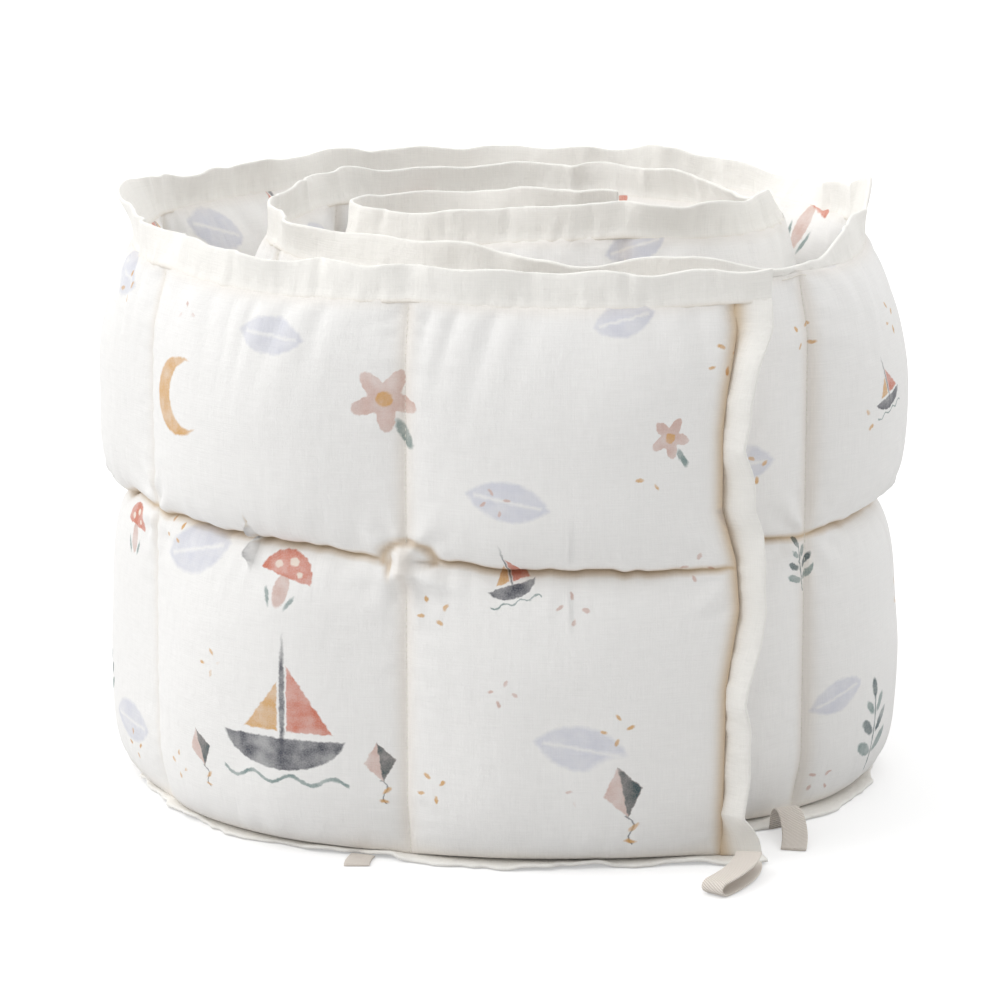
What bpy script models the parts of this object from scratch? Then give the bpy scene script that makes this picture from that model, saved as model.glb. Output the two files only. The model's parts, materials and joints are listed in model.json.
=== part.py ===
"""A padded crib bumper, rolled up and standing on its long edge.

One long quilted strip, two rows of puffed cells high, is wound in a loose spiral of just under
three turns. A plain band is sewn round all four of its edges, and three short tapes, for tying
the strip to a cot, show at its foot.

Metres, +Z up. The strip's free end faces -Y. The origin is on the floor, under the middle of the
roll. Along the strip, "run" is the length of cloth from the free end, and "out" is the distance
from the strip's middle, positive away from the roll's centre.
"""
import math

import bmesh
import bpy
import numpy as np

# ---- driving dimensions -------------------------------------------------------------------------
HEIGHT = 0.302            # floor to the highest point of the standing band
BAND_WIDTH = 0.015        # the plain band round the quilt
BAND_THICK = 0.0020       # a doubled strip of cloth
END_BAND = 0.020          # the same band down the strip's two ends
SEAM_THICK = 0.0030       # the quilt where it is sewn through
GAP = 0.0003              # between pieces that touch
CELLS = 15                # cells along the strip
CELL_DRIFT = 0.054        # rolling draws the outer cells longer and leaves the inner ones shorter
CROSS_SEAM_Z = 0.149      # the lengthwise seam between the two rows
SEAM_PULL = 0.006         # how far the bend pulls a crosswise seam out of the strip's middle
BAND_RISE = 0.003         # how far single peaks of the band stand above the rest of its edge
TOP_DIP = 0.003           # how far the top edge sinks between two crosswise seams
OUTER_PUFF = 0.021        # how far a cell swells outwards, where it has room
INNER_PUFF = 0.027        # and inwards, where the bend slackens the cloth
TIGHT_PUFF = 0.010        # more of that by the strip's inner end, where the bend is tightest
TURN_GAP = 0.0015         # half of the space that two turns keep
ROLL_SHIFT = (-0.0063, 0.0262)  # moves the roll so that its box is centred on the origin

# Steps of the mesh: each cell is cut more finely near its seams.
STEPS_ALONG = 8
STEPS_UP = 6

# The roll from above, a row for each quarter turn: the point where the strip runs straight across
# (front and back) or straight back (left and right).
QUARTERS = (
    # side, x, y
    ("front", 0.030, -0.199),
    ("left", -0.186, 0.000),
    ("back", 0.004, 0.188),
    ("right", 0.1945, 0.012),
    ("front", 0.095, -0.143),
    ("left", -0.117, 0.000),
    ("back", 0.012, 0.132),
    ("right", 0.154, 0.024),
    ("front", 0.072, -0.058),
    ("left", -0.078, -0.004),
    ("back", -0.014, 0.042),
)
FREE_END = (0.136, -0.190)
INNER_END = (0.068, 0.034)
SQUARENESS = 2.2          # 2 would make each quarter turn an ellipse
SMOOTHING = 0.016         # rounds the joins between quarter turns
FINE = 0.004              # spacing of the points of the strip's middle line

# How full each cell of the outer turn is, counted from the free end.
FILLS = (
    # upper, lower
    (1.00, 0.90),
    (1.00, 0.88),
    (1.00, 0.74),
    (0.98, 0.90),
    (1.00, 0.86),
    (0.96, 0.92),
    (1.00, 0.66),
    (0.90, 0.86),
)
# The lengthwise seam isn't level: how far it lies above or below its height.
CREASE_RISE = (
    # run, rise
    (0.00, 0.001),
    (0.10, 0.002),
    (0.17, 0.005),
    (0.27, 0.009),
    (0.36, 0.010),
    (0.45, -0.004),
    (0.55, 0.001),
    (0.75, 0.003),
    (0.95, -0.002),
    (1.10, 0.001),
    (3.00, 0.000),
)

# Where the standing band folds over: middle of the fold and its half length along the strip, how
# far the edge leans out, and how far it sinks.
TOP_FOLDS = (
    # run, half_length, lean, sink
    (0.020, 0.060, 0.004, 0.001),
    (0.330, 0.060, -0.006, 0.001),
    (0.460, 0.080, 0.008, 0.003),
    (0.830, 0.030, 0.001, -0.003),
    (0.930, 0.070, 0.007, 0.006),
    (1.000, 0.035, 0.002, -0.002),
    (1.160, 0.060, 0.013, 0.009),
    (1.270, 0.060, 0.008, 0.004),
    (1.620, 0.050, 0.004, -0.001),
    (1.950, 0.080, -0.009, 0.001),
    (2.180, 0.060, -0.004, 0.001),
)
# How far the crushed band under the roll reaches out from the strip's middle.
FOOT_REACH = (
    # run, reach
    (0.00, 0.013),
    (0.06, 0.010),
    (0.13, 0.016),
    (0.20, 0.006),
    (0.30, 0.013),
    (0.42, 0.015),
    (0.60, 0.008),
    (0.85, 0.009),
    (1.04, 0.011),
    (1.14, 0.016),
    (1.22, 0.016),
    (1.34, 0.006),
    (3.00, 0.005),
)
# The curl of the band down the free end. It leaves its seam steeply and turns back towards the
# strip's own direction: the table has the mean of the turn at the root and at the edge.
END_CURL = (
    # height, turn in degrees
    (0.000, 5.0),
    (0.012, 30.0),
    (0.025, 68.0),
    (0.053, 52.0),
    (0.083, 64.0),
    (0.114, 49.0),
    (0.140, 44.0),
    (0.168, 34.0),
    (0.190, 40.0),
    (0.212, 60.0),
    (0.235, 58.0),
    (0.258, 42.0),
    (0.285, 12.0),
)
CURL_SPREAD = 34.0        # degrees between that mean and the root, or the edge
# Tapes: where each leaves the foot, how far it goes, how far its tip swings along the strip
# (positive towards the free end), and the length of the part folded back over it.
TAPE_WIDTH = 0.013
TAPE_THICK = 0.0013
TIES = (
    # name, run, length, swing, folded back
    ("tie_front", 0.020, 0.046, -0.014, 0.034),
    ("tie_right", 1.186, 0.042, -0.018, 0.0),
    ("tie_left", 0.205, 0.016, 0.003, 0.0),
)
FOLD_RADIUS = 0.0032

CLOTH = (0.93, 0.92, 0.89)
BAND_CLOTH = (0.89, 0.88, 0.82)
TWILL = (0.82, 0.78, 0.71)


# ---- the roll seen from above -------------------------------------------------------------------
def quarter_turn(start, stop, across_first, count=60):
    """Points of a quarter of a superellipse from start to stop.

    It leaves start along X if across_first is true, or along Y if not, and arrives square to
    that: one coordinate follows the sine of the angle and the other one minus the cosine, both
    raised to 2 / SQUARENESS.
    """
    angle = np.linspace(0, math.pi / 2, count, endpoint=False)
    lead = np.sin(angle) ** (2 / SQUARENESS)
    follow = 1 - np.cos(angle) ** (2 / SQUARENESS)
    x_part, y_part = (lead, follow) if across_first else (follow, lead)
    x = start[0] + (stop[0] - start[0]) * x_part
    y = start[1] + (stop[1] - start[1]) * y_part
    return np.column_stack((x, y))


def straight_run(flat_point, end_point, count=30):
    """Points of the nearly straight stretch between a flat point and an end: a parabola."""
    share = np.linspace(0, 1, count)
    x = flat_point[0] + (end_point[0] - flat_point[0]) * share
    y = flat_point[1] + (end_point[1] - flat_point[1]) * share ** 2
    return np.column_stack((x, y))


def evenly(points, spacing):
    """The same curve with points at an even spacing along it."""
    lengths = np.r_[0, np.cumsum(np.linalg.norm(np.diff(points, axis=0), axis=1))]
    even = np.linspace(0, lengths[-1], int(lengths[-1] / spacing) + 1)
    return np.column_stack([np.interp(even, lengths, points[:, k]) for k in (0, 1)])


def strip_middle():
    """The strip's middle line from above: quarter turns end to end, then smoothed."""
    corners = [(x, y) for _, x, y in QUARTERS]
    pieces = [straight_run(corners[0], FREE_END)[::-1][:-1]]
    for index, (side, _, _) in enumerate(QUARTERS[:-1]):
        across = side in ("front", "back")
        pieces.append(quarter_turn(corners[index], corners[index + 1], across))
    pieces.append(straight_run(corners[-1], INNER_END))
    line = evenly(np.vstack(pieces), FINE)
    reach = int(round(2 * SMOOTHING / FINE))
    offsets = np.arange(-reach, reach + 1) * FINE
    weights = np.exp(-0.5 * (offsets / SMOOTHING) ** 2)
    weights /= weights.sum()
    # Both ends are carried on straight before the smoothing, so that they stay where they are.
    ahead = line[0] - (line[1] - line[0]) * np.arange(reach, 0, -1)[:, None]
    behind = line[-1] + (line[-1] - line[-2]) * np.arange(1, reach + 1)[:, None]
    longer = np.vstack((ahead, line, behind))
    smooth = [np.convolve(longer[:, k], weights, mode="valid") for k in (0, 1)]
    return evenly(np.column_stack(smooth), FINE) + np.array(ROLL_SHIFT)


LINE = strip_middle()
LINE_RUN = np.r_[0, np.cumsum(np.linalg.norm(np.diff(LINE, axis=0), axis=1))]
LENGTH = float(LINE_RUN[-1])
LINE_ALONG = np.gradient(LINE, axis=0)
LINE_ALONG /= np.linalg.norm(LINE_ALONG, axis=1)[:, None]
LINE_OUT = np.column_stack((-LINE_ALONG[:, 1], LINE_ALONG[:, 0]))
CELL = (LENGTH - 2 * END_BAND) / CELLS
SEAM_NUMBERS = np.arange(CELLS + 1)
SEAM_RUNS = END_BAND + CELL * SEAM_NUMBERS + CELL_DRIFT * np.sin(math.pi * SEAM_NUMBERS / CELLS) ** 4


def place(run, out, height):
    """World points for arrays of run, out and height, which are broadcast together."""
    run, out, height = np.broadcast_arrays(run, out, height)
    middle = [np.interp(run, LINE_RUN, LINE[:, k]) for k in (0, 1)]
    normal = [np.interp(run, LINE_RUN, LINE_OUT[:, k]) for k in (0, 1)]
    size = np.hypot(*normal)
    return np.stack([middle[0] + normal[0] / size * out,
                     middle[1] + normal[1] / size * out, height], axis=-1)


def room(side):
    """Half of the space between each point of the strip and the next turn, on one side.

    side is +1 for outwards and -1 for inwards. Only points further along the strip than a cell
    count, and only those that lie within 60 degrees of straight out.
    """
    away = LINE[None, :, :] - LINE[:, None, :]
    distance = np.linalg.norm(away, axis=2)
    facing = side * (away * LINE_OUT[:, None, :]).sum(axis=2) > 0.5 * distance
    other = np.abs(LINE_RUN[None, :] - LINE_RUN[:, None]) > 0.10
    return np.where(facing & other, distance, 1.0).min(axis=1) / 2


def swell(run, side):
    """How far the cells at run may swell: the full puff, or less where turns lie close."""
    full = OUTER_PUFF if side > 0 else INNER_PUFF + TIGHT_PUFF * LINE_RUN / LENGTH
    free = np.minimum(room(side) - TURN_GAP - SEAM_THICK / 2, full)
    # The least room within 12 mm either way, so that neighbours never meet between two points.
    least = np.min([np.roll(free, k)[3:-3] for k in range(-3, 4)], axis=0)
    return np.interp(run, LINE_RUN[3:-3], least)


def cell_place(run):
    """The number of run's cell, and where run lies in it, from -1 at one seam to 1 at the next."""
    count = np.interp(run, SEAM_RUNS, SEAM_NUMBERS)
    number = np.clip(np.floor(count), 0, CELLS - 1).astype(int)
    return number, 2 * (count - number) - 1


def top_edge(run):
    """Height of the quilt's top edge, which sinks a little between crosswise seams."""
    top = HEIGHT - BAND_RISE - BAND_WIDTH
    inside = (run > END_BAND) & (run < LENGTH - END_BAND)
    return top - TOP_DIP * np.where(inside, 1 - cell_place(run)[1] ** 2, 0)


def crease(run):
    """Height of the lengthwise seam at run."""
    table = np.array(CREASE_RISE)
    return CROSS_SEAM_Z + np.interp(run, table[:, 0], table[:, 1])


def fill_of(number, row):
    """How full a cell is: the table's value on the outer turn, and an even swing further in."""
    table = np.array(FILLS)
    known = number < len(FILLS)
    listed = table[np.where(known, number, 0), row.astype(int)]
    return np.where(known, listed, 0.95 + 0.05 * np.sin(2.4 * number + 1.9 * row))


def seam_out(run, height):
    """How far the strip's middle is pulled out near a crosswise seam, fading at both edges."""
    number, share = cell_place(run)
    to_seam = (1 - np.abs(share)) / 2 * np.diff(SEAM_RUNS)[number]
    pull = SEAM_PULL * np.minimum(swell(run, 1) / OUTER_PUFF, 1) * np.exp(-(to_seam / 0.025) ** 2)
    fade = np.clip(np.minimum(height - BAND_THICK, top_edge(run) - height) / 0.035, 0, 1)
    return pull * fade * fade * (3 - 2 * fade)


# ---- meshes -------------------------------------------------------------------------------------
def cloth_material(name, colour, roughness):
    """A plain matt cloth."""
    material = bpy.data.materials.new(name)
    material.use_nodes = True
    shader = material.node_tree.nodes["Principled BSDF"]
    shader.inputs["Base Color"].default_value = (*colour, 1)
    shader.inputs["Roughness"].default_value = roughness
    shader.inputs["Metallic"].default_value = 0
    return material


def solid(name, rings, material):
    """A closed solid from a row of rings, an array of (rings, points, 3).

    Each ring runs up one face and down the other, so its ends are closed by a ladder of quads
    between the two faces.
    """
    count, around, _ = rings.shape
    index = np.arange(count * around).reshape(count, around)
    faces = []
    for a, b in zip(index[:-1], index[1:]):
        for k in range(around):
            after = (k + 1) % around
            faces.append((a[k], a[after], b[after], b[k]))
    for ring in (index[0], index[-1]):
        for k in range(around // 2 - 1):
            faces.append((ring[k], ring[k + 1], ring[-2 - k], ring[-1 - k]))
    mesh = bpy.data.meshes.new(name)
    mesh.from_pydata(rings.reshape(-1, 3).tolist(), [], [tuple(map(int, f)) for f in faces])
    tidy = bmesh.new()
    tidy.from_mesh(mesh)
    bmesh.ops.recalc_face_normals(tidy, faces=tidy.faces)
    tidy.to_mesh(mesh)
    tidy.free()
    mesh.materials.append(material)
    mesh.shade_smooth()
    mesh.set_sharp_from_angle(angle=math.radians(50))
    piece = bpy.data.objects.new(name, mesh)
    bpy.context.scene.collection.objects.link(piece)
    return piece


def seam_steps(count):
    """Steps from -1 to 1 that crowd towards both ends."""
    return -np.cos(np.linspace(0, math.pi, count + 1))


def strip_runs(start, stop):
    """Run of each column of the mesh: every cell's steps, and the bands past the end seams."""
    steps = (seam_steps(STEPS_ALONG)[:-1] + 1) / 2
    places = (np.arange(CELLS)[:, None] + steps[None, :]).ravel()
    cells = np.interp(places, SEAM_NUMBERS, SEAM_RUNS)
    runs = np.r_[0, cells, LENGTH - END_BAND, LENGTH]
    return np.unique(np.clip(runs, start, stop))


def halved(runs, longest=0.02):
    """The same runs, with a point more in the middle of each step that is over the longest."""
    middles = (runs[1:] + runs[:-1]) / 2
    return np.sort(np.r_[runs, middles[np.diff(runs) > longest]])


# ---- the pieces ---------------------------------------------------------------------------------
def puff(along, up, row):
    """Share of the full swelling at a place in a cell, both from -1 to 1.

    The swelling is nothing at the seams. Up the cell it rises steeply on the floor, less so where
    the two rows crowd each other, and gently up to the top band. Along the strip it rises softly
    from one seam and more steeply from the next. Its crown sits a little low, as the filling
    settles.
    """
    sunk = up + 0.14 * (1 - up ** 2)
    floor_side = (1 - np.abs(sunk) ** 3.6) ** 0.5
    crease_side = (1 - np.abs(sunk) ** (2.5 + 1.2 * (1 - along ** 2))) ** 0.5
    band_side = (1 - np.abs(sunk) ** 2.3) ** 0.75
    low_row = np.where(sunk < 0, floor_side, crease_side)
    high_row = np.where(sunk < 0, crease_side, band_side)
    soft = (1 - np.abs(along) ** 2.3) ** 0.8
    steep = (1 - np.abs(along) ** 2.6) ** 0.6
    return np.where(along < 0, soft, steep) * np.where(row == 0, low_row, high_row)


def make_quilt(material):
    """The padded strip: rings across it, up its outer face and down its inner one."""
    runs = strip_runs(END_BAND + GAP, LENGTH - END_BAND - GAP)[:, None]
    steps = seam_steps(STEPS_UP)
    up = np.r_[steps[:-1], steps][None, :]
    row = np.r_[np.zeros(STEPS_UP), np.ones(STEPS_UP + 1)][None, :]
    foot = BAND_THICK + GAP
    low = np.where(row == 0, foot, crease(runs))
    high = np.where(row == 0, crease(runs), top_edge(runs))
    height = low + (high - low) * (up + 1) / 2
    number, along = cell_place(runs)
    share = puff(np.clip(along, -1, 1), up, row) * fill_of(number, row)
    middle = seam_out(runs, height)
    outer = middle + SEAM_THICK / 2 + (swell(runs, 1) - middle) * share
    inner = middle - SEAM_THICK / 2 - (swell(runs, -1) + middle) * share
    faces = [place(runs, outer, height), place(runs, inner, height)[:, ::-1]]
    return solid("quilt", np.concatenate(faces, axis=1), material)


def fold_amounts(run):
    """Lean and sink of the standing band: the table's folds, each a smooth hump."""
    lean = 0.0010 * np.sin(2 * math.pi * run / 0.061) + 0.002 * np.sin(2 * math.pi * run / 0.143)
    sink = 0.0008 * (1 + np.sin(2 * math.pi * run / 0.047))
    for middle, half, out, down in TOP_FOLDS:
        hump = np.cos(np.clip((run - middle) / half, -1, 1) * math.pi / 2) ** 2
        lean = lean + out * hump
        sink = sink + down * hump
    return lean, sink


def make_top_band(material):
    """The band that stands on the quilt's top edge, leaning in and out."""
    runs = halved(strip_runs(0, LENGTH))[:, None]
    lean, sink = fold_amounts(runs)
    share = np.array([0, 0.5, 1])[None, :]
    foot = top_edge(runs) + GAP
    height = foot + (HEIGHT - BAND_RISE - foot - sink) * share
    middle = lean * share ** 1.5
    faces = [place(runs, middle + BAND_THICK / 2, height),
             place(runs, middle - BAND_THICK / 2, height)[:, ::-1]]
    return solid("top_band", np.concatenate(faces, axis=1), material)


def foot_reach(run):
    """How far the band under the roll reaches outwards at run."""
    table = np.array(FOOT_REACH)
    return np.interp(run, table[:, 0], table[:, 1]) + 0.0012 * np.sin(2 * math.pi * run / 0.052)


def tape_corners(run):
    """The runs of both corners and the middle of a tape's root."""
    return run + np.array([-0.5, 0, 0.5]) * TAPE_WIDTH


def make_bottom_band(material):
    """The band under the roll, crushed flat on the floor, with its uneven edge.

    It has a point at each corner of a tape, so that the tapes start close against it.
    """
    corners = [tape_corners(row[1]) for row in TIES]
    runs = np.unique(np.round(np.concatenate((halved(strip_runs(0, LENGTH)), *corners)), 5))[:, None]
    reach = foot_reach(runs)
    outs = np.concatenate((reach, reach, reach - BAND_WIDTH, reach - BAND_WIDTH), axis=1)
    height = np.array([0, BAND_THICK, BAND_THICK, 0])[None, :]
    return solid("bottom_band", place(runs, outs, height), material)


def make_end_band(name, seam_run, direction, curl, material):
    """The band down one end of the strip, from the seam at seam_run to its free edge.

    direction is -1 where the band runs towards the start of the strip. curl is the table of
    heights and turns, or None for a straight band.
    """
    heights = np.linspace(BAND_THICK + GAP, float(top_edge(np.array(0.0))), 19)[:, None]
    table = np.array(curl if curl else ((0, 0), (HEIGHT, 0)))
    mean = np.interp(heights, table[:, 0], table[:, 1])
    spread = np.minimum(CURL_SPREAD, mean)
    share = np.linspace(0, 1, 6)[None, :]
    angle = np.radians(mean + spread * (1 - 2 * share))
    half = BAND_THICK / 2
    step = np.diff(share, axis=1) * (END_BAND - GAP - half)
    # It starts clear of the quilt by its own half thickness, where it leaves the seam steeply.
    forward = np.cumsum(np.concatenate((half * np.sin(angle[:, :1]), np.cos(angle[:, 1:]) * step), axis=1), axis=1)
    sideways = np.cumsum(np.concatenate((0 * mean, np.sin(angle[:, 1:]) * step), axis=1), axis=1)
    faces = []
    for side in (1, -1):
        run = seam_run + direction * (forward - side * half * np.sin(angle))
        out = sideways + side * half * np.cos(angle)
        faces.append(place(run, out, heights)[:, ::side])
    return solid(name, np.concatenate(faces, axis=1), material)


def make_tie(name, run, length, swing, folded, material):
    """A tape that leaves the foot band square to its edge and swings to one side on the floor.

    Its route is in the plane first: how far it has gone, and how high it lies. A folded tape goes
    out along the floor, round a small fold, and back over itself, rising a little.
    """
    flat = np.linspace(0, length, 7)
    distance = flat
    height = np.full(7, TAPE_THICK / 2)
    if folded:
        bend = np.linspace(-math.pi / 2, math.pi / 2, 7)[1:]
        distance = np.r_[flat, length + FOLD_RADIUS * np.cos(bend)]
        height = np.r_[height, TAPE_THICK / 2 + FOLD_RADIUS * (1 + np.sin(bend))]
        back = np.linspace(0, folded, 6)[1:]
        distance = np.r_[distance, length - back]
        height = np.r_[height, TAPE_THICK / 2 + 2 * FOLD_RADIUS + 0.10 * back]
    start = foot_reach(tape_corners(run)).max() + GAP
    along = -swing * (distance / length) ** 2
    centre = place(run + 0 * along, start + distance, height)
    strip_way = place(np.array(run + 0.001), 0, 0) - place(np.array(run - 0.001), 0, 0)
    strip_way /= np.linalg.norm(strip_way)
    centre = centre + along[:, None] * strip_way
    forward = np.gradient(centre, axis=0)
    forward /= np.linalg.norm(forward, axis=1)[:, None]
    # Across the tape is level; its thickness is square to both.
    flat_way = place(np.array(run), 1, 0) - place(np.array(run), 0, 0)
    slope = -2 * swing * distance / length ** 2
    across = strip_way[None, :] - slope[:, None] * flat_way[None, :]
    across /= np.linalg.norm(across, axis=1)[:, None]
    through = np.cross(forward, across)
    through /= np.linalg.norm(through, axis=1)[:, None]
    ring = []
    for side, face in ((1, 1), (-1, 1), (-1, -1), (1, -1)):
        ring.append(centre + across * side * TAPE_WIDTH / 2 + through * face * TAPE_THICK / 2)
    rings = np.stack(ring, axis=1)
    return solid(name, rings, material)


def main():
    for old in list(bpy.data.objects):
        bpy.data.objects.remove(old, do_unlink=True)
    cloth = cloth_material("printed_cloth", CLOTH, 0.9)
    band = cloth_material("band_cloth", BAND_CLOTH, 0.85)
    twill = cloth_material("twill_tape", TWILL, 0.8)
    make_quilt(cloth)
    make_top_band(band)
    make_bottom_band(band)
    make_end_band("end_band_outer", END_BAND, -1, END_CURL, band)
    make_end_band("end_band_inner", LENGTH - END_BAND, 1, None, band)
    for name, run, length, swing, folded in TIES:
        make_tie(name, run, length, swing, folded, twill)


main()
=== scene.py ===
# %% [markdown]
# # A rolled crib bumper
# A crib bumper is one long padded strip. Two printed muslin panels are sewn together with filling
# between them, quilted into two rows of cells, edged with a plain band, and rolled up for sale.
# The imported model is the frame: it holds every piece at its real size and place. This script
# dresses it, so each new piece lies where its CAD solid is.

# %% Load the frame
import functools
import json
import math

import bpy
import numpy as np
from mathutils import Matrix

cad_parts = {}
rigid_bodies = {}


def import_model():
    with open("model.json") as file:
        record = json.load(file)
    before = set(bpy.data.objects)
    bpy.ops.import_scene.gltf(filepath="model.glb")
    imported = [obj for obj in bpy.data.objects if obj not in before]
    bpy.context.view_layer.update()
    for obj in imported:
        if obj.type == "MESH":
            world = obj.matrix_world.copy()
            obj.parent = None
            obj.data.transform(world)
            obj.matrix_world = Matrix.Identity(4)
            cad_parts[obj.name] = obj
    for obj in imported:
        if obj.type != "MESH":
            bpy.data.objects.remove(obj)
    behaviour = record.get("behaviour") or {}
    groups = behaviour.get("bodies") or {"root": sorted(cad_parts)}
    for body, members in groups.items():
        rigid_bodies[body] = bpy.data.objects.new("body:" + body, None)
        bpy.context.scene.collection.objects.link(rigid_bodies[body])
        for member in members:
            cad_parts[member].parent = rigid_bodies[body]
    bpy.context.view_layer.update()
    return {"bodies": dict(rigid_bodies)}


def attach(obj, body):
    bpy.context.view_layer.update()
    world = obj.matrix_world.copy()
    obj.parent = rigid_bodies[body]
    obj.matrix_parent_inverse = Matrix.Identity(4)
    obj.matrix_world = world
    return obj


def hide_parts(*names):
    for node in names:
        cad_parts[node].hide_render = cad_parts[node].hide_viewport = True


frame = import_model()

# %% [markdown]
# ## The camera
# The camera comes first, so that every later choice can be judged in the photo's own view. The
# ellipses of the roll's top and foot give its height and distance: it looks down by about 13
# degrees from two and a third metres away, through a long lens.

# %% Camera
EYE = (-0.002, -2.360, 0.7017)
LOOK_DOWN = 13.29          # degrees below the horizon
LENS = 165.6               # mm, on a sensor 36 mm wide


def add_object(name, data):
    """A new object in the scene, at the origin."""
    made = bpy.data.objects.new(name, data)
    bpy.context.scene.collection.objects.link(made)
    return made


camera_data = bpy.data.cameras.new("camera")
camera_data.lens = LENS
camera_data.sensor_width = 36
camera = add_object("camera", camera_data)
camera.location = EYE
camera.rotation_euler = (math.radians(90 - LOOK_DOWN), 0, 0)
bpy.context.scene.camera = camera
print("camera looks down by", LOOK_DOWN, "degrees")

# %% [markdown]
# ## The strip's route
# Everything on the bumper is placed along the strip, so the route of the strip's middle, seen from
# above, is the one curve that the whole script shares. "run" is the length of cloth from the free
# end, and "out" is the distance from the strip's middle, away from the roll's centre. A spiral
# formula would be too even. Quarter turns between listed flat points follow the real, slightly
# squashed roll. But for the creep, these are the same sizes as in the part's source.

# %% Sizes of the strip
HEIGHT = 0.302            # floor to the highest point of the standing band
BAND_WIDTH = 0.015        # the plain band round the quilt
BAND_THICK = 0.0020
END_BAND = 0.020          # the same band down the strip's two ends
SEAM_THICK = 0.0030       # the quilt where it is sewn through
GAP = 0.0003
CELLS = 15                # cells along the strip
CROSS_SEAM_Z = 0.149      # the lengthwise seam between the two rows
BAND_RISE = 0.003         # room for the band's waves under the full height
TOP_DIP = 0.003           # how far the top edge sinks between two crosswise seams
QUILT_TOP = HEIGHT - BAND_RISE - BAND_WIDTH
CREEP = 0.008             # how far the innermost turn has crept up
CREEP_RUN = 2.03          # where along the strip
CREEP_REACH = 0.13        # and how far to either side
OUTER_PUFF = 0.021        # how far a cell swells outwards, where it has room
INNER_PUFF = 0.027        # and inwards
TIGHT_PUFF = 0.010        # more of that by the strip's inner end
TURN_GAP = 0.0015         # half of the space that two turns keep
ROLL_SHIFT = (-0.0063, 0.0262)

QUARTERS = (
    # side, x, y
    ("front", 0.030, -0.199),
    ("left", -0.186, 0.000),
    ("back", 0.004, 0.188),
    ("right", 0.1945, 0.012),
    ("front", 0.095, -0.143),
    ("left", -0.117, 0.000),
    ("back", 0.012, 0.132),
    ("right", 0.154, 0.024),
    ("front", 0.072, -0.058),
    ("left", -0.078, -0.004),
    ("back", -0.014, 0.042),
)
FREE_END = (0.136, -0.190)
INNER_END = (0.068, 0.034)
SQUARENESS = 2.2          # 2 would make each quarter turn an ellipse
SMOOTHING = 0.016         # rounds the joins between quarter turns
FINE = 0.004              # spacing of the route's points

# The seam at the free end isn't upright: how far it has been pulled along the strip.
END_SWAY = (
    # height, shift
    (0.000, 0.001),
    (0.030, 0.002),
    (0.090, 0.001),
    (0.130, -0.005),
    (0.155, -0.003),
    (0.180, 0.004),
    (0.220, 0.004),
    (0.240, 0.002),
    (0.270, -0.003),
    (0.302, 0.000),
)
SWAY_REACH = 0.030
print("the route has", len(QUARTERS), "flat points, and its end sways at", len(END_SWAY), "heights")

# %% [markdown]
# ## Small helpers
# The same few sums come up again and again: the length of a line of points, directions of length
# 1, the value of a table in between its rows, a step without corners, a bell curve, and numbers
# that wander unevenly, as nothing sewn by hand is quite even.


# %% Helpers for arrays
def length_along(points):
    """How far along a line of points each one lies."""
    return np.r_[0, np.cumsum(np.linalg.norm(np.diff(points, axis=0), axis=1))]


def unit(vectors):
    """The same directions with length 1."""
    return vectors / np.linalg.norm(vectors, axis=-1, keepdims=True)


def read(table, x):
    """The second column of a table where its first is x, with straight lines between rows."""
    return np.interp(x, *np.array(table).T)


def soft_step(share):
    """From 0 to 1 with level ends: share squared times 3 less twice share."""
    return share * share * (3 - 2 * share)


def near(distance, reach):
    """1 at a line or point of the cloth, fading away from it as a bell curve."""
    return np.exp(-(distance / reach) ** 2)


def wander(x, spacing, seed):
    """Smooth uneven numbers from -1 to 1: a random value every spacing, joined by soft steps."""
    values = np.random.default_rng(seed).uniform(-1, 1, 4096)
    at = np.asarray(x) / spacing
    low = np.floor(at).astype(int)
    share = soft_step(at - low)
    return values[low % 4096] * (1 - share) + values[(low + 1) % 4096] * share


def wander_2d(x, y, spacing, seed):
    """The same over a surface: random values on a square grid, joined by soft steps both ways."""
    values = np.random.default_rng(seed).uniform(-1, 1, (512, 512))
    at = np.stack(np.broadcast_arrays(x, y)) / spacing
    low = np.floor(at).astype(int)
    share_x, share_y = soft_step(at - low)
    left, right = (values[(low[0] + step) % 512, low[1] % 512] * (1 - share_y)
                   + values[(low[0] + step) % 512, (low[1] + 1) % 512] * share_y
                   for step in (0, 1))
    return left * (1 - share_x) + right * share_x


print("a bell curve at its reach:", round(float(near(1, 1)), 3))

# %% [markdown]
# The route is drawn as quarter turns from one flat point to the next, with a nearly straight
# stretch to each end. Points at an even spacing are then smoothed with a bell curve, so that the
# quarter turns meet without a kink.


# %% The route
def quarter_turn(start, stop, across_first, count=60):
    """Points of a quarter of a superellipse from start to stop.

    One coordinate follows the sine of the angle and the other one minus the cosine, both raised
    to 2 / SQUARENESS.
    """
    angle = np.linspace(0, math.pi / 2, count, endpoint=False)
    lead = np.sin(angle) ** (2 / SQUARENESS)
    follow = 1 - np.cos(angle) ** (2 / SQUARENESS)
    x_part, y_part = (lead, follow) if across_first else (follow, lead)
    x = start[0] + (stop[0] - start[0]) * x_part
    y = start[1] + (stop[1] - start[1]) * y_part
    return np.column_stack((x, y))


def straight_run(flat_point, end_point, count=30):
    """Points of the nearly straight stretch between a flat point and an end: a parabola."""
    share = np.linspace(0, 1, count)
    x = flat_point[0] + (end_point[0] - flat_point[0]) * share
    y = flat_point[1] + (end_point[1] - flat_point[1]) * share ** 2
    return np.column_stack((x, y))


def evenly(points, spacing):
    """The same curve with points at an even spacing along it."""
    lengths = length_along(points)
    even = np.linspace(0, lengths[-1], int(lengths[-1] / spacing) + 1)
    return np.column_stack([np.interp(even, lengths, points[:, k]) for k in (0, 1)])


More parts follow.
